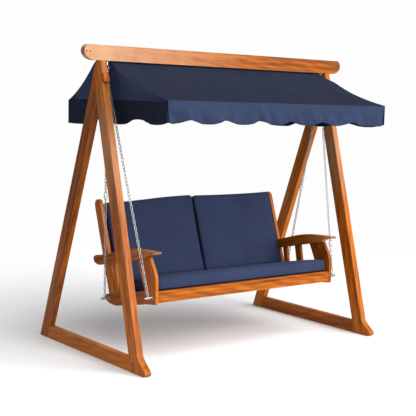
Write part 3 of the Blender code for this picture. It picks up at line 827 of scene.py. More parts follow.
    def creases(self, x: float, y: float) -> float:
        """Height of the tension lines that fan out from the front corners, and of slow swells."""
        rise = 0.0040 * noise.noise(Vector((x * 4.0, y * 4.0, 9.0)))
        for side, strength in ((Side.LEFT, 0.7), (Side.RIGHT, 1.3)):
            corner = Vector((side.value * CORNERS[End.FRONT, side].half, self.eaves[End.FRONT][0]))
            away = Vector((x, y)) - corner
            angle = math.atan2(away.y, abs(away.x))
            fade = blend_between(0.06, 0.25, away.length) * (1 - blend_between(0.55, 1.15, away.length))
            waver = 3 * noise.noise(Vector((x * 2, y * 2, 2)))
            rise += strength * self.crease * math.sin(24 * angle + waver) * fade
        return rise

    def long_skirt(self, share: float, down: float, end: End) -> Vector:
        """A point of the front or rear valance.

        Args:
            share: -1 at the left corner, 1 at the right corner.
            down: 0 at the eave, 1 at the hem.
            end: which valance.

        Returns:
            The point.
        """
        top = self.roof(share, end.value)
        inside = 1.0 - blend_between(0.955, 1.0, abs(share))
        low = self.corner_hem(end) + (self.long_hem(top.x, end) - self.corner_hem(end)) * inside
        out = (self.folds(top.x, down, 1.0 + end.value, 0.05) + 0.003 * down) * inside
        out += self.corner_lean(down) * (1 - inside)
        x = top.x + math.copysign(self.corner_lean(down), share) * (1 - inside)
        return Vector((x, top.y + end.value * out, top.z + (low - top.z) * down))

    def corner_lean(self, down: float) -> float:
        """How far a corner's upright seam leans in as it falls."""
        return -0.006 * down

    def gable_skirt(self, run: float, down: float, side: Side) -> Vector:
        """A point of a side valance, from the level of the eaves down to the hem."""
        edge = self.roof(side.value, run)
        end = End.FRONT if run < 0 else End.REAR
        tip = self.roof(side.value, end.value)
        corner = blend_between(0.88, 1.0, abs(run))
        near_chain = 1.0 - blend_between(0.10, 0.26, abs(edge.y + 0.055))
        middle = 0.889 - 0.007 * near_chain
        hanging = middle + (tip.x * side.value - middle) * blend_between(0.45, 1.0, abs(run))
        low = self.side_hem_height(edge.y)
        level = self.eaves[end][1] - 0.004 * (1 - corner) + (tip.z - self.eaves[end][1]) * corner
        out = 0.45 * self.folds(edge.y, down, 5.0 + side.value, -0.03) * (1 - corner)
        out -= 0.008 * down * (1 - corner)
        out += self.corner_lean(down) * corner
        y = edge.y + math.copysign(self.corner_lean(down), run) * corner
        return Vector((side.value * (hanging + out), y, level + (low - level) * down))

    def gable(self, run: float, down: float, side: Side) -> Vector:
        """A point of the gable between the roof's edge and the level of the eaves."""
        top, foot = self.roof(side.value, run), self.gable_skirt(run, 0.0, side)
        point = top.lerp(foot, down)
        inner = math.sin(math.pi * down)
        tip = self.roof(side.value, -1.0)
        away = Vector((point.y - tip.y, point.z - tip.z))
        fan = math.sin(13 * math.atan2(away.y, away.x) + 0.8) * (1 - blend_between(0.30, 0.55, away.length))
        fan *= blend_between(0.05, 0.16, away.length)
        pleats = noise.noise(Vector((run * 5.0 + down * 3.2, down * 2.0 - run * 4.0, side.value * 3.0)))
        point.x -= side.value * inner * (0.006 + 0.004 * pleats + 0.0045 * fan)
        return point

    def grid(self, batch: Batch, rows: list[list[Vector]]) -> None:
        """Adds rows of points as a quilt of faces."""
        first, width = len(batch.points), len(rows[0])
        batch.points += [point for row in rows for point in row]
        for j in range(len(rows) - 1):
            for i in range(width - 1):
                a = first + j * width + i
                batch.faces.append((a, a + 1, a + width + 1, a + width))

    def sheet_rows(self) -> list[list[Vector]]:
        """The sheet from the front hem over the ridge to the rear hem."""
        shares = [2 * i / self.columns - 1 for i in range(self.columns + 1)]
        skirt = [j / self.skirt_rows for j in range(1, self.skirt_rows + 1)]
        slope = [[self.roof(s, r) for s in shares] for r in self.runs()[1:-1]]
        front = [[self.long_skirt(s, d, End.FRONT) for s in shares] for d in reversed(skirt)]
        rear = [[self.long_skirt(s, d, End.REAR) for s in shares] for d in skirt]
        bends = {end: list(zip(*(self.bend(s, end) for s in shares))) for end in End}
        return front + list(reversed(bends[End.FRONT])) + slope + bends[End.REAR] + rear

    def bend(self, share: float, end: End) -> list[Vector]:
        """Points where the cloth turns over an eave bar, from the slope to the valance."""
        before = self.roof(share, end.value * (1 - self.round_off))
        peak, after = self.roof(share, end.value), self.long_skirt(share, 0.05, end)
        soft = 1 - blend_between(0.97, 1.0, abs(share))
        points = []
        for t in (0.0, 0.25, 0.5, 0.75, 1.0):
            curved = before.lerp(peak, t).lerp(peak.lerp(after, t), t)
            sharp = before.lerp(peak, 2 * t) if t <= 0.5 else peak.lerp(after, 2 * t - 1)
            points.append(sharp.lerp(curved, soft))
        return points

    def runs(self) -> list[float]:
        """Places down both slopes, from the front eave to the rear eave."""
        return [j / self.slope_rows for j in range(-self.slope_rows, self.slope_rows + 1)]

    def gable_rows(self, side: Side) -> list[list[Vector]]:
        """A gable end from the roof's edge down to the hem."""
        runs = self.runs()
        rows = [[self.gable(r, j / 14, side) for r in runs] for j in range(14)]
        falls = [j / self.skirt_rows for j in range(self.skirt_rows + 1)]
        rows += [[self.gable_skirt(r, fall, side) for r in runs] for fall in falls]
        return rows

    def seam_lines(self) -> list[list[Vector]]:
        """The roof's edges and the upright corners, where the panels are joined."""
        lines = []
        falls = [j / self.skirt_rows for j in range(self.skirt_rows + 1)]
        for side in Side:
            proud = Vector((side.value * 0.0012, 0, 0.0006))
            for end in End:
                runs = [end.value * j / self.slope_rows for j in range(self.slope_rows + 1)]
                lines.append([self.roof(side.value, run) + proud for run in runs])
                corner = [self.gable_skirt(end.value, fall, side) for fall in falls]
                lines.append([p + Vector((side.value, end.value, 0)) * 0.0008 for p in corner])
        return lines

    def hem_loop(self) -> list[tuple[Vector, Vector, Vector]]:
        """Hem point, point just above it and outward direction, all the way round."""
        fine = [2 * i / 300 - 1 for i in range(300)]
        tape = self.hem_tape / (self.eaves[End.FRONT][1] - self.frame_hem)
        loop = []
        for s in fine:
            pair = [self.long_skirt(s, d, End.FRONT) for d in (1.0, 1.0 - tape)]
            loop.append((*pair, Vector((0, -1, 0))))
        for r in fine:
            pair = [self.gable_skirt(r, d, Side.RIGHT) for d in (1.0, 1.0 - tape)]
            loop.append((*pair, Vector((1, 0, 0))))
        for s in fine:
            pair = [self.long_skirt(-s, d, End.REAR) for d in (1.0, 1.0 - tape)]
            loop.append((*pair, Vector((0, 1, 0))))
        for r in fine:
            pair = [self.gable_skirt(-r, d, Side.LEFT) for d in (1.0, 1.0 - tape)]
            loop.append((*pair, Vector((-1, 0, 0))))
        return loop

    def hem_binding(self) -> bpy.types.Object:
        """The folded tape sewn along the hem."""
        batch = Batch()
        loop = self.hem_loop()
        half = 0.0015
        for hem, above, out in loop:
            low = hem - Vector((0, 0, 0.0012))
            batch.points += [above + out * half, low + out * half * 0.8,
                             low - out * half * 0.8, above - out * half]
        count = len(loop)
        for i in range(count):
            a, b = i * 4, (i + 1) % count * 4
            batch.faces += [(a + k, a + (k + 1) % 4, b + (k + 1) % 4, b + k) for k in range(4)]
        return batch.piece("canopy_hem_binding", self.material)

    def stitches(self) -> bpy.types.Object:
        """Thread along the top of the hem's tape."""
        loop = self.hem_loop()
        path = [above.lerp(hem, 0.14) + out * 0.0019 for hem, above, out in loop]
        return stitch_run("canopy_stitching", path, 0.0075, 0.0048, 0.00045, self.thread, True)

    def build(self) -> None:
        """Makes the sheet with its seams, hem and stitching."""
        batch = Batch()
        self.grid(batch, self.sheet_rows())
        for side in Side:
            self.grid(batch, self.gable_rows(side))
        sheet = batch.piece("canopy_canvas", self.material)
        shape = bmesh.new()
        shape.from_mesh(sheet.data)
        bmesh.ops.remove_doubles(shape, verts=shape.verts, dist=0.0004)
        bmesh.ops.dissolve_degenerate(shape, edges=shape.edges, dist=0.0001)
        bmesh.ops.recalc_face_normals(shape, faces=shape.faces)
        shape.to_mesh(sheet.data)
        shape.free()
        cloth = sheet.modifiers.new("cloth thickness", "SOLIDIFY")
        cloth.thickness = self.thickness
        cloth.offset = 0.0
        seams = Batch()
        crest = self.ridge[1] + 0.0012
        ridge = [Vector((self.top_half * (i / 20 - 1), self.ridge[0], crest)) for i in range(41)]
        for line in [ridge] + self.seam_lines():
            seams.add(*sweep(line, [0.0022] * len(line), 8, False))
        welts = seams.piece("canopy_seams", self.material)
        binding, thread = self.hem_binding(), self.stitches()
        nodes = [name for name in frame["nodes"] if name.startswith("canopy_")
                 and any(part in name for part in ("roof", "valance", "gable"))]
        settle(sheet, Body.STAND, nodes)
        for piece in (welts, binding, thread):
            settle(piece, Body.STAND)


def stitch_run(name: str, path: Sequence[Vector], pitch: float, length: float, radius: float,
               material: bpy.types.Material, closed: bool) -> bpy.types.Object:
    """Thread dashes along a line.

    Args:
        name: the piece's name.
        path: the line's points.
        pitch: from one stitch to the next.
        length: of a stitch.
        radius: of the thread.
        material: the thread's finish.
        closed: whether the line joins up.

    Returns:
        All the dashes as one object.
    """
    batch = Batch()
    points = list(path) + ([path[0]] if closed else [])
    carried = 0.0
    for a, b in zip(points, points[1:]):
        step = b - a
        reach = step.length
        while carried < reach and reach > 1e-9:
            middle = a + step * (carried / reach)
            half = step.normalized() * (length / 2)
            ends = [middle - half, middle, middle + half]
            batch.add(*sweep(ends, [radius * 0.6, radius, radius * 0.6], 5, False))
            carried += pitch
        carried -= reach
    return batch.piece(name, material)


# ---- cushions ----


@dataclass
class Cushion:
    """A box cushion: a stuffed cover with piping round its two faces."""

    name: str
    node: str
    material: bpy.types.Material
    shrink: float = 0.004            # how much smaller than its room the cover starts
    corner: float = 0.020
    voxel: float = 0.006
    pressure: float = 4.0
    cap: float = 0.014               # the furthest that stuffing moves the cover
    waist: float = 0.006             # how far the sides draw in between the corners
    loft: float = 0.018              # crown of the upper or rear face beyond the stuffing
    lift: tuple[float, float] = (0.0, 0.0)   # how far the top edge stands up at its left and right ends
    foot: float = 0.0                # how far the lower edge reaches down
    piping: float = 0.0032
    crease: float = 0.0012
    fill: float = 0.7
    seed: float = 0.0
    tucks: tuple[tuple[float, float], ...] = ()   # corners with gathered folds, as signs across and up
    lie: Lie = field(init=False)

    def __post_init__(self) -> None:
        """Finds the cushion's room in the frame."""
        self.lie = Lie.of(self.node)

    @property
    def axes(self) -> Matrix:
        """Turns the cushion's own directions (across, up its face, through it) into the bench's."""
        return Matrix(self.lie.axes).transposed()

    def outline_point(self, across: float, up: float, out: float) -> Vector:
        """Draws the sides in between the corners; across and up run from -1 to 1."""
        width, height, depth = (size / 2 - self.shrink for size in self.lie.sizes)
        x = across * (width - self.waist * (1 - up * up))
        y = up * height - (self.waist * (1 - across * across) if up > 0 else 0.0)
        start, end = self.lift
        y += blend_between(-0.2, 1.0, up) * (start + (end - start) * blend_between(-1.0, 0.6, across))
        y -= self.foot * blend_between(-0.2, 1.0, -up)
        return Vector((x, y, out * depth))

    def block(self) -> bpy.types.Object:
        """The cover before it is stuffed."""
        shape = bmesh.new()
        bmesh.ops.create_cube(shape, size=2.0)
        cuts = {0: 14, 1: 10, 2: 2}
        for axis, count in cuts.items():
            for i in range(1, count):
                place = Vector((0, 0, 0))
                place[axis] = 2 * i / count - 1
                normal = Vector((0, 0, 0))
                normal[axis] = 1
                parts = shape.verts[:] + shape.edges[:] + shape.faces[:]
                bmesh.ops.bisect_plane(shape, geom=parts, plane_co=place, plane_no=normal)
        for vertex in shape.verts:
            vertex.co = self.outline_point(*vertex.co)
        mesh = bpy.data.meshes.new(self.name)
        shape.to_mesh(mesh)
        shape.free()
        piece = bpy.data.objects.new(self.name, mesh)
        bpy.context.scene.collection.objects.link(piece)
        bevel = piece.modifiers.new("rounded", "BEVEL")
        bevel.width = self.corner
        bevel.segments = 4
        bevel.limit_method = "ANGLE"
        bevel.angle_limit = math.radians(50)
        remesh = piece.modifiers.new("even mesh", "REMESH")
        remesh.mode = "VOXEL"
        remesh.voxel_size = self.voxel
        bake_modifiers(piece)
        return piece

    def seam_share(self, local: Vector) -> float:
        """How close a point is to either seam, from 0 to 1."""
        width, height, depth = (size / 2 - self.shrink for size in self.lie.sizes)
        edge = min(width - abs(local.x), height - abs(local.y))
        face = depth - abs(local.z)
        return 1.0 - blend_between(0.010, 0.024, math.hypot(max(edge, 0.0), max(face, 0.0)))

    def stuff(self, piece: bpy.types.Object) -> None:
        """Blows the cover up with its seams held, and caps how far it moves.

        Args:
            piece: the cover, in the cushion's own frame.
        """
        group = piece.vertex_groups.new(name="seams")
        for vertex in piece.data.vertices:
            group.add([vertex.index], self.seam_share(vertex.co), "REPLACE")
        start = np.array([v.co for v in piece.data.vertices], float)
        cloth = piece.modifiers.new("stuffing", "CLOTH")
        settings = cloth.settings
        settings.quality = 4
        settings.mass = 0.3
        settings.tension_stiffness = settings.compression_stiffness = 12
        settings.shear_stiffness = 4
        settings.bending_stiffness = 0.6
        settings.use_pressure = True
        settings.uniform_pressure_force = self.pressure
        settings.vertex_group_mass = "seams"
        settings.effector_weights.gravity = 0.0
        scene = bpy.context.scene
        for step in range(1, 21):
            scene.frame_set(step)
        stuffed = piece.evaluated_get(bpy.context.evaluated_depsgraph_get()).to_mesh()
        end = np.array([v.co for v in stuffed.vertices], float)
        piece.modifiers.remove(cloth)
        piece.vertex_groups.clear()
        scene.frame_set(1)
        move = end - start
        reach = np.linalg.norm(move, axis=1, keepdims=True)
        move *= np.minimum(1.0, self.cap * np.tanh(reach / self.cap) / np.maximum(reach, 1e-9))
        piece.data.vertices.foreach_set("co", (start + move).astype(np.float32).ravel())

    def shape_face(self, local: Vector) -> Vector:
        """Adds small folds by the seams and at the tucked corners, and keeps the other face flat."""
        width, height, depth = (size / 2 for size in self.lie.sizes)
        u, v = local.x / width, local.y / height
        near_seam = 1.0 - blend_between(0.0, 0.075, min(width - abs(local.x), height - abs(local.y)))
        waver = 5.0 * noise.noise(Vector((u * 4, v * 4, self.seed)))
        ripple = math.sin(210.0 * (local.x + local.y * 0.35) + waver)
        gather = noise.noise(Vector((local.x * 26.0, local.y * 26.0, self.seed + 2.0)))
        rise = self.crease * near_seam * (0.45 * ripple + 1.3 * gather)
        rise += 0.0022 * noise.noise(Vector((local.x * 6.0, local.y * 6.0, self.seed)))
        for sign_across, sign_up in self.tucks:
            corner = Vector((sign_across * width, sign_up * height))
            away = (Vector((local.x, local.y)) - corner)
            angle = math.atan2(away.y, away.x)
            fade = blend_between(0.012, 0.035, away.length) * (1.0 - blend_between(0.05, 0.20, away.length))
            rise += 0.0042 * fade * math.sin(11.0 * angle + 16.0 * away.length)
        if local.z > 0:
            crown = (1 - min(1.0, abs(u)) ** 3.2) * (1 - min(1.0, abs(v)) ** 3.2)
            local.z += rise + self.loft * crown * blend_between(0.0, depth, local.z)
        local.z = max(local.z, -depth + 0.0004)
        local.x = max(-width, min(width, local.x))
        return local

    def piping_line(self, face: float, tree: BVHTree) -> list[Vector]:
        """The seam's line round one face, drawn onto the stuffed cover.

        Args:
            face: 1 for the upper or rear face's seam, -1 for the other's.
            tree: the cover's surface.

        Returns:
            Points in the cushion's own frame.
        """
        width, height, depth = (size / 2 - self.shrink for size in self.lie.sizes)
        bend = self.corner * 1.2
        line = []
        for cx, cy, start in ((1, 1, 0), (-1, 1, 90), (-1, -1, 180), (1, -1, 270)):
            for i in range(9):
                turn = math.radians(start + 90 * i / 8)
                line.append(Vector((cx * (width - bend) + bend * math.cos(turn),
                                    cy * (height - bend) + bend * math.sin(turn), 0)))
        fine = []
        for a, b in zip(line, line[1:] + line[:1]):
            steps = max(1, round((b - a).length / 0.012))
            fine += [a.lerp(b, i / steps) for i in range(steps)]
        drawn = []
        for point in fine:
            inset = self.corner * 0.30
            u, v = point.x / width, point.y / height
            pulled = self.outline_point(u, v, face) - Vector((0, 0, face * inset))
            aim = Vector((pulled.x * 1.2, pulled.y * 1.2, pulled.z * 1.6))
            hit = tree.find_nearest(pulled.lerp(aim, 0.1))
            drawn.append(hit[0] + hit[1] * self.piping * 0.35)
        for _ in range(3):
            count = len(drawn)
            drawn = [(drawn[i - 1] + drawn[i] * 2 + drawn[(i + 1) % count]) / 4 for i in range(count)]
        return drawn

    def build(self) -> None:
        """Makes the cover, stuffs it and sews on its piping."""
        piece = self.block()
        self.stuff(piece)
        for vertex in piece.data.vertices:
            vertex.co = self.shape_face(vertex.co.copy())
        smooth = piece.modifiers.new("finer cover", "SUBSURF")
        smooth.levels = smooth.render_levels = 1
        bake_modifiers(piece)
        shape = bmesh.new()
        shape.from_mesh(piece.data)
        tree = BVHTree.FromBMesh(shape)
        shape.free()
        trims = Batch()
        for face in (1.0, -1.0):
            line = self.piping_line(face, tree)
            radius = self.piping if face > 0 else self.piping * 0.8
            trims.add(*sweep(line, [radius] * len(line), 8, True))
        turn = Matrix.Translation(self.lie.centre) @ self.axes.to_4x4()
        piece.data.transform(turn)
        piece.data.materials.clear()
        piece.data.materials.append(self.material)
        piece.data.shade_smooth()
        trims.points = [turn @ p for p in trims.points]
        settle(piece, Body.SWING, [self.node])
        settle(trims.piece(self.name + "_piping", self.material), Body.SWING)


def bake_modifiers(piece: bpy.types.Object) -> None:
    """Replaces a piece's mesh with what its modifiers make of it."""
    bpy.context.view_layer.update()
    evaluated = piece.evaluated_get(bpy.context.evaluated_depsgraph_get())
    mesh = bpy.data.meshes.new_from_object(evaluated)
    piece.modifiers.clear()
    piece.data = mesh


# ---- chains ----


@dataclass
class LinkShape:
    """A welded chain link: two round ends and two straight sides."""

    pitch: float = 0.0215
    width: float = 0.0180            # outside
    wire: float = 0.0046
    end_steps: int = 6
    sides: int = 7

    def solid(self, nut: bool = False) -> tuple[list[Vector], list[tuple[int, ...]]]:
        """The link round the origin, long along Z and lying in the X-Z plane.

        Args:
            nut: thickens one side as a screwed sleeve.

        Returns:
            Its points and faces.
        """
        bend = (self.width - self.wire) / 2
        straight = max(0.0, self.pitch / 2 + self.wire / 2 - bend)
        path, radii = [], []
        for top, start in ((1, 0), (-1, 180)):
            for i in range(self.end_steps + 1):
                turn = math.radians(start + 180 * i / self.end_steps)
                path.append(Vector((bend * math.cos(turn), 0, top * straight + bend * math.sin(turn))))
                radii.append(self.wire / 2)
            sides = -1 if top > 0 else 1
            sleeve = nut and top > 0
            for share, swell in ((0.6, 1.0), (0.55, 1.75 if sleeve else 1.0), (0.0, 1.75 if sleeve else 1.12),
                                 (-0.55, 1.75 if sleeve else 1.0), (-0.6, 1.0)):
                path.append(Vector((sides * bend, 0, top * straight * share)))
                radii.append(self.wire / 2 * swell)
        return sweep(path, radii, 6 if nut else self.sides, True, lambda i: Vector((0, 1, 0)))


@dataclass
class Chain:
    """One of the four chains: links from the ring under the beam to the bolt on the seat."""

    end: End
    side: Side
    material: bpy.types.Material
    link: LinkShape = field(default_factory=LinkShape)
    connector: LinkShape = field(default_factory=lambda: LinkShape(0.046, 0.024, 0.0050, 8, 6))
    ring_bottom: float = 1.7675      # height of the first link's crown
    connector_height: float = 0.672
    bolt_reach: float = 0.007        # from the chain's inner edge to its middle, and past the bolt's middle

    def build(self) -> None:
        """Makes the chain as one piece of separate links."""
        name = f"chain_{self.end.word}_{self.side.word}"
        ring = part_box(f"hang_ring_{self.side.word}")
        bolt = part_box(f"chain_bolt_{self.end.word}_{self.side.word}")
        hang = Vector(((ring[0].x + ring[1].x) / 2, (ring[0].y + ring[1].y) / 2, self.ring_bottom))
        low = Vector((0, (bolt[0].y + bolt[1].y) / 2, (bolt[0].z + bolt[1].z) / 2))
        chain_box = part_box(name)
        foot_x = chain_box[0].x if self.side is Side.RIGHT else chain_box[1].x
        low.x = foot_x + self.side.value * self.bolt_reach
        run = (low - hang).normalized()
        foot = low + run * self.bolt_reach
        length = (foot - hang).length
        count = 2 * round((length - self.connector.pitch) / self.link.pitch / 2) - 1
        pitch = (length - self.connector.pitch) / count
        link = LinkShape(pitch, self.link.width, self.link.wire)
        place_of_connector = (hang.z - self.connector_height) / (hang.z - foot.z) * length
        if self.end is End.REAR:
            place_of_connector = length * 0.5
        batch, along, turned, joined = Batch(), 0.0, False, False
        plain, screwed = link.solid(), self.connector.solid(nut=True)
        sideways = Vector((1, 0, 0)) - run * run.x
        sideways.normalize()
        upright = Matrix((sideways, run.cross(sideways), run)).transposed()
        while along < length - pitch / 2:
            here = not joined and along >= place_of_connector
            step = self.connector.pitch if here else pitch
            joined = joined or here
            centre = hang + run * (along + step / 2)
            spin = Matrix.Rotation(math.pi / 2 if turned else 0.0, 3, "Z")
            batch.add(*(screwed if here else plain), Matrix.Translation(centre) @ (upright @ spin).to_4x4())
            along += step
            turned = not turned
        settle(batch.piece(name + "_links", self.material), Body.SWING, [name])


@dataclass
class SnapLink:
    """The long screwed link that joins a beam's eye to its two chains."""

    side: Side
    material: bpy.types.Material
    shape: LinkShape = field(default_factory=lambda: LinkShape(0.048, 0.027, 0.0068, 10, 6))

    def build(self) -> None:
        """Hangs the link where the frame's ring hangs."""
        node = f"hang_ring_{self.side.word}"
        low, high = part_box(node)
        crown = high.z - self.shape.wire / 2
        middle = crown - self.shape.pitch / 2 - self.shape.wire / 2
        centre = Vector(((low.x + high.x) / 2, (low.y + high.y) / 2, middle))
        spin = Matrix.Rotation(math.pi / 2, 4, "Z")
        batch = Batch()
        batch.add(*self.shape.solid(nut=True), Matrix.Translation(centre) @ spin)
        settle(batch.piece(f"snap_link_{self.side.word}", self.material), Body.SWING, [node])


# ---- screws ----


@dataclass
class Fixing:
    """A domed head with a hexagonal socket."""

    radius: float = 0.0055
    height: float = 0.0024
    socket: float = 0.0024
    socket_depth: float = 0.0016
    steps: int = 24

    def solid(self) -> tuple[list[Vector], list[tuple[int, ...]]]:
        """The head standing on the X-Y plane, pointing along +Z."""
        profile = [(1.0, -0.0004 / self.height), (1.0, 0.35), (0.9, 0.7), (0.72, 0.94), (0.55, 1.0)]
        levels = [(share * self.radius, lift * self.height, False) for share, lift in profile]
        floor = self.height - self.socket_depth
        levels += [(self.socket, self.height * 0.98, True), (self.socket * 0.97, floor, True)]
        points = []
        for radius, z, hexed in levels:
            for k in range(self.steps):
                turn = math.tau * k / self.steps
                fold = (turn + math.pi / 6) % (math.pi / 3) - math.pi / 6
                reach = radius / math.cos(fold) * 0.93 if hexed else radius
                points.append(Vector((reach * math.cos(turn), reach * math.sin(turn), z)))
        faces = [(j * self.steps + k, j * self.steps + (k + 1) % self.steps,
                  (j + 1) * self.steps + (k + 1) % self.steps, (j + 1) * self.steps + k)
                 for j in range(len(levels) - 1) for k in range(self.steps)]
        faces.append(tuple(reversed(range(self.steps))))
        faces.append(tuple((len(levels) - 1) * self.steps + k for k in range(self.steps)))
        return points, faces


@dataclass
class Fixings:
    """Groups of visible screws."""

    material: bpy.types.Material
    small: Fixing = field(default_factory=Fixing)
    large: Fixing = field(default_factory=lambda: Fixing(0.0085, 0.0034, 0.0036, 0.0022))
    beam_insets: tuple[float, float] = (0.016, 0.041)      # in from the beam's tip
    beam_rise: float = 0.053                               # above the beam's underside
    foot_place: tuple[float, float] = (-0.492, 0.058)      # along Y, and height
    arm_places: tuple[tuple[float, float], ...] = ((0.205, 0.572), (-0.245, 0.662))
    rail_places: tuple[tuple[float, float], ...] = ((-0.235, 0.395), (0.110, 0.325))

    def group(self, name: str, body: Body, head: Fixing, places: list[tuple[Vector, Vector]]) -> None:
        """Sets one group of equal heads.

        Args:
            name: the piece's name.
            body: the body that holds them.
            head: their shape.
            places: each head's point on the wood and the direction that it faces.
        """
        batch = Batch()
        for point, facing in places:
            turn = facing.to_track_quat("Z", "Y").to_matrix().to_4x4()
            batch.add(*head.solid(), Matrix.Translation(point) @ turn)
        settle(batch.piece(name, self.material), body)

    def build(self) -> None:
        """Sets every group."""
        self.group("beam_screws", Body.STAND, self.small, self.beam_heads())
        self.group("foot_bolts", Body.STAND, self.large, self.outer_heads("leg_front", (self.foot_place,)))
        self.group("arm_screws", Body.SWING, self.small, self.outer_heads("arm", self.arm_places))
        rails = self.outer_heads("seat_side_rail", self.rail_places)
        self.group("rail_screws", Body.SWING, self.small, rails)

    def beam_heads(self) -> list[tuple[Vector, Vector]]:
        """Two heads at each end of the beam, on its front and its rear."""
        low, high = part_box("ridge_beam")
        heads = []
        for side in Side:
            for inset in self.beam_insets:
                x = side.value * (high.x - inset)
                for end, y in ((End.FRONT, low.y), (End.REAR, high.y)):
                    heads.append((Vector((x, y, low.z + self.beam_rise)), Vector((0, end.value, 0))))
        return heads

    def outer_heads(self, board: str, places: Sequence[tuple[float, float]]) -> list[tuple[Vector, Vector]]:
        """Heads on the outer faces of a left and a right board.

        Args:
            board: the boards' name without its side.
            places: each head's place along Y and its height.

        Returns:
            Each head's point and the direction that it faces.
        """
        heads = []
        for side in Side:
            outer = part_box(f"{board}_{side.word}")[1 if side is Side.RIGHT else 0].x
            heads += [(Vector((outer, y, z)), Vector((side.value, 0, 0))) for y, z in places]
        return heads


# ---- studio ----


@dataclass(frozen=True)
class Lamp:
    """A soft box that faces a point."""

    name: str
    place: Colour
    aim: Colour
    size: tuple[float, float]
    power: float
    colour: Colour = (1.0, 1.0, 1.0)

    def build(self) -> None:
        """Hangs the lamp."""
        data = bpy.data.lights.new(self.name, "AREA")
        data.shape = "RECTANGLE"
        data.size, data.size_y = self.size
        data.energy = self.power
        data.color = self.colour
        lamp = bpy.data.objects.new(self.name, data)
        lamp.location = self.place
        lamp.rotation_euler = (Vector(self.aim) - Vector(self.place)).to_track_quat("-Z", "Y").to_euler()
        bpy.context.scene.collection.objects.link(lamp)


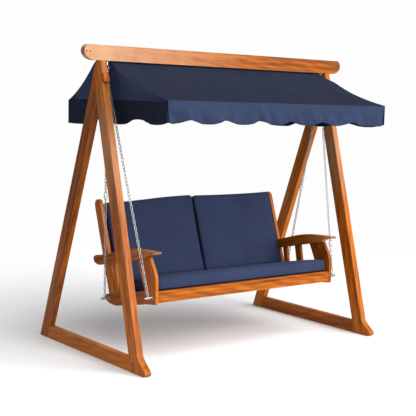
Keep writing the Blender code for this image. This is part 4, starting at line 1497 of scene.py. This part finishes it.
@dataclass
class Studio:
    """The camera, the pale floor and the soft light."""

    eye: Colour = (-4.2047, -5.1952, 1.6267)
    heading: float = 38.57           # degrees from +Y towards +X
    down_tilt: float = 6.22
    lean: float = 1.70
    lens: float = 84.22
    sensor: float = 36.0
    floor_radius: float = 7.0
    floor_corners: int = 64
    backdrop: float = 0.985
    ambient: float = 0.42
    lamps: tuple[Lamp, ...] = (Lamp("key", (1.9, -4.6, 2.7), (-0.6, 0.0, 1.4), (2.2, 2.4), 150.0),)
    sun_from: tuple[float, float] = (16.0, 41.0)      # degrees towards the right of the front, and up
    sun_width: float = 80.0
    sun_strength: float = 4.1

    def camera(self) -> None:
        """Places the camera."""
        yaw, pitch, roll = (math.radians(a) for a in (self.heading, self.down_tilt, self.lean))
        ahead = Vector((math.sin(yaw) * math.cos(pitch), math.cos(yaw) * math.cos(pitch), -math.sin(pitch)))
        level = Vector((math.cos(yaw), -math.sin(yaw), 0))
        above = level.cross(ahead)
        right = level * math.cos(roll) + above * math.sin(roll)
        up = above * math.cos(roll) - level * math.sin(roll)
        data = bpy.data.cameras.new("camera")
        data.sensor_width = self.sensor
        data.lens = self.lens
        camera = bpy.data.objects.new("camera", data)
        camera.matrix_world = Matrix.Translation(self.eye) @ Matrix((right, up, -ahead)).transposed().to_4x4()
        bpy.context.scene.collection.objects.link(camera)
        bpy.context.scene.camera = camera

    def floor(self) -> None:
        """Lays the floor."""
        turns = [math.tau * k / self.floor_corners for k in range(self.floor_corners)]
        rim = [Vector((self.floor_radius * math.cos(t), self.floor_radius * math.sin(t), 0)) for t in turns]
        ground = link_mesh("studio_floor", rim, [tuple(range(len(rim)))], FloorFinish().dress())

    def world(self) -> None:
        """Surrounds the bench with even light and a white backdrop."""
        world = bpy.data.worlds.new("studio")
        world.use_nodes = True
        bpy.context.scene.world = world
        graph = Graph(world.node_tree)
        seen = graph.add("LightPath").outputs["Is Camera Ray"]
        strength = graph.span(seen, 0.0, 1.0, self.ambient, self.backdrop)
        back = world.node_tree.nodes["Background"]
        back.inputs["Color"].default_value = (1.0, 1.0, 1.0, 1.0)
        graph.feed(back.inputs["Strength"], strength)

    def sun(self) -> None:
        """Hangs the big far light that fills the room evenly."""
        aside, up = (math.radians(a) for a in self.sun_from)
        data = bpy.data.lights.new("far_light", "SUN")
        data.energy = self.sun_strength
        data.angle = math.radians(self.sun_width)
        lamp = bpy.data.objects.new("far_light", data)
        towards = Vector((math.sin(aside) * math.cos(up), -math.cos(aside) * math.cos(up), math.sin(up)))
        lamp.location = towards * 6
        lamp.rotation_euler = towards.to_track_quat("Z", "Y").to_euler()
        bpy.context.scene.collection.objects.link(lamp)

    def build(self) -> None:
        """Sets the whole studio up."""
        bpy.context.scene.view_settings.view_transform = "Standard"
        self.camera()
        self.floor()
        self.world()
        self.sun()
        for lamp in self.lamps:
            lamp.build()


def dress_fittings(material: bpy.types.Material) -> None:
    """Gives the frame's eyes and bolts their zinc."""
    for name, node in frame["nodes"].items():
        if name.startswith(("hanging_eye", "chain_bolt")):
            node.data.materials.clear()
            node.data.materials.append(material)


def main() -> None:
    """Builds everything round the frame."""
    logging.basicConfig(level=logging.INFO, format="%(name)s %(message)s")
    Studio().build()
    zinc = ZincFinish().dress()
    dark_steel = ZincFinish("aged steel", (0.16, 0.15, 0.14), (0.05, 0.045, 0.04)).dress()
    # the canopy canvas gets painted shade on its sky-facing slopes and side valances, and painted light on
    # its gables
    canopy_canvas = CanvasFinish("navy canopy canvas", (0.021, 0.031, 0.070), (0.036, 0.053, 0.112),
                                 weathered=True).dress()
    cushion_canvas = CanvasFinish("navy cushion canvas", (0.020, 0.028, 0.066), (0.034, 0.048, 0.106),
                                  sheen=0.06).dress()
    thread = CanvasFinish("navy thread", (0.030, 0.044, 0.100), (0.060, 0.080, 0.160)).dress()
    Timber().dress()
    dress_fittings(zinc)
    Canopy(canopy_canvas, thread).build()
    Cushion("seat_pad", "seat_cushion", cushion_canvas, voxel=0.007, cap=0.008, waist=0.003, loft=0.004,
            fill=0.8, seed=3.0).build()
    Cushion("back_pad_left", "back_cushion_left", cushion_canvas, cap=0.018, lift=(0.000, 0.026), foot=0.010,
            seed=11.0, tucks=((1.0, -1.0), (-1.0, -1.0))).build()
    Cushion("back_pad_right", "back_cushion_right", cushion_canvas, cap=0.018, lift=(0.022, 0.024),
            foot=0.010, seed=17.0, tucks=((-1.0, -1.0), (1.0, -1.0), (1.0, 1.0))).build()
    for side in Side:
        SnapLink(side, zinc).build()
        for end in End:
            Chain(end, side, zinc).build()
    Fixings(dark_steel).build()


if __name__ == "__main__":
    main()
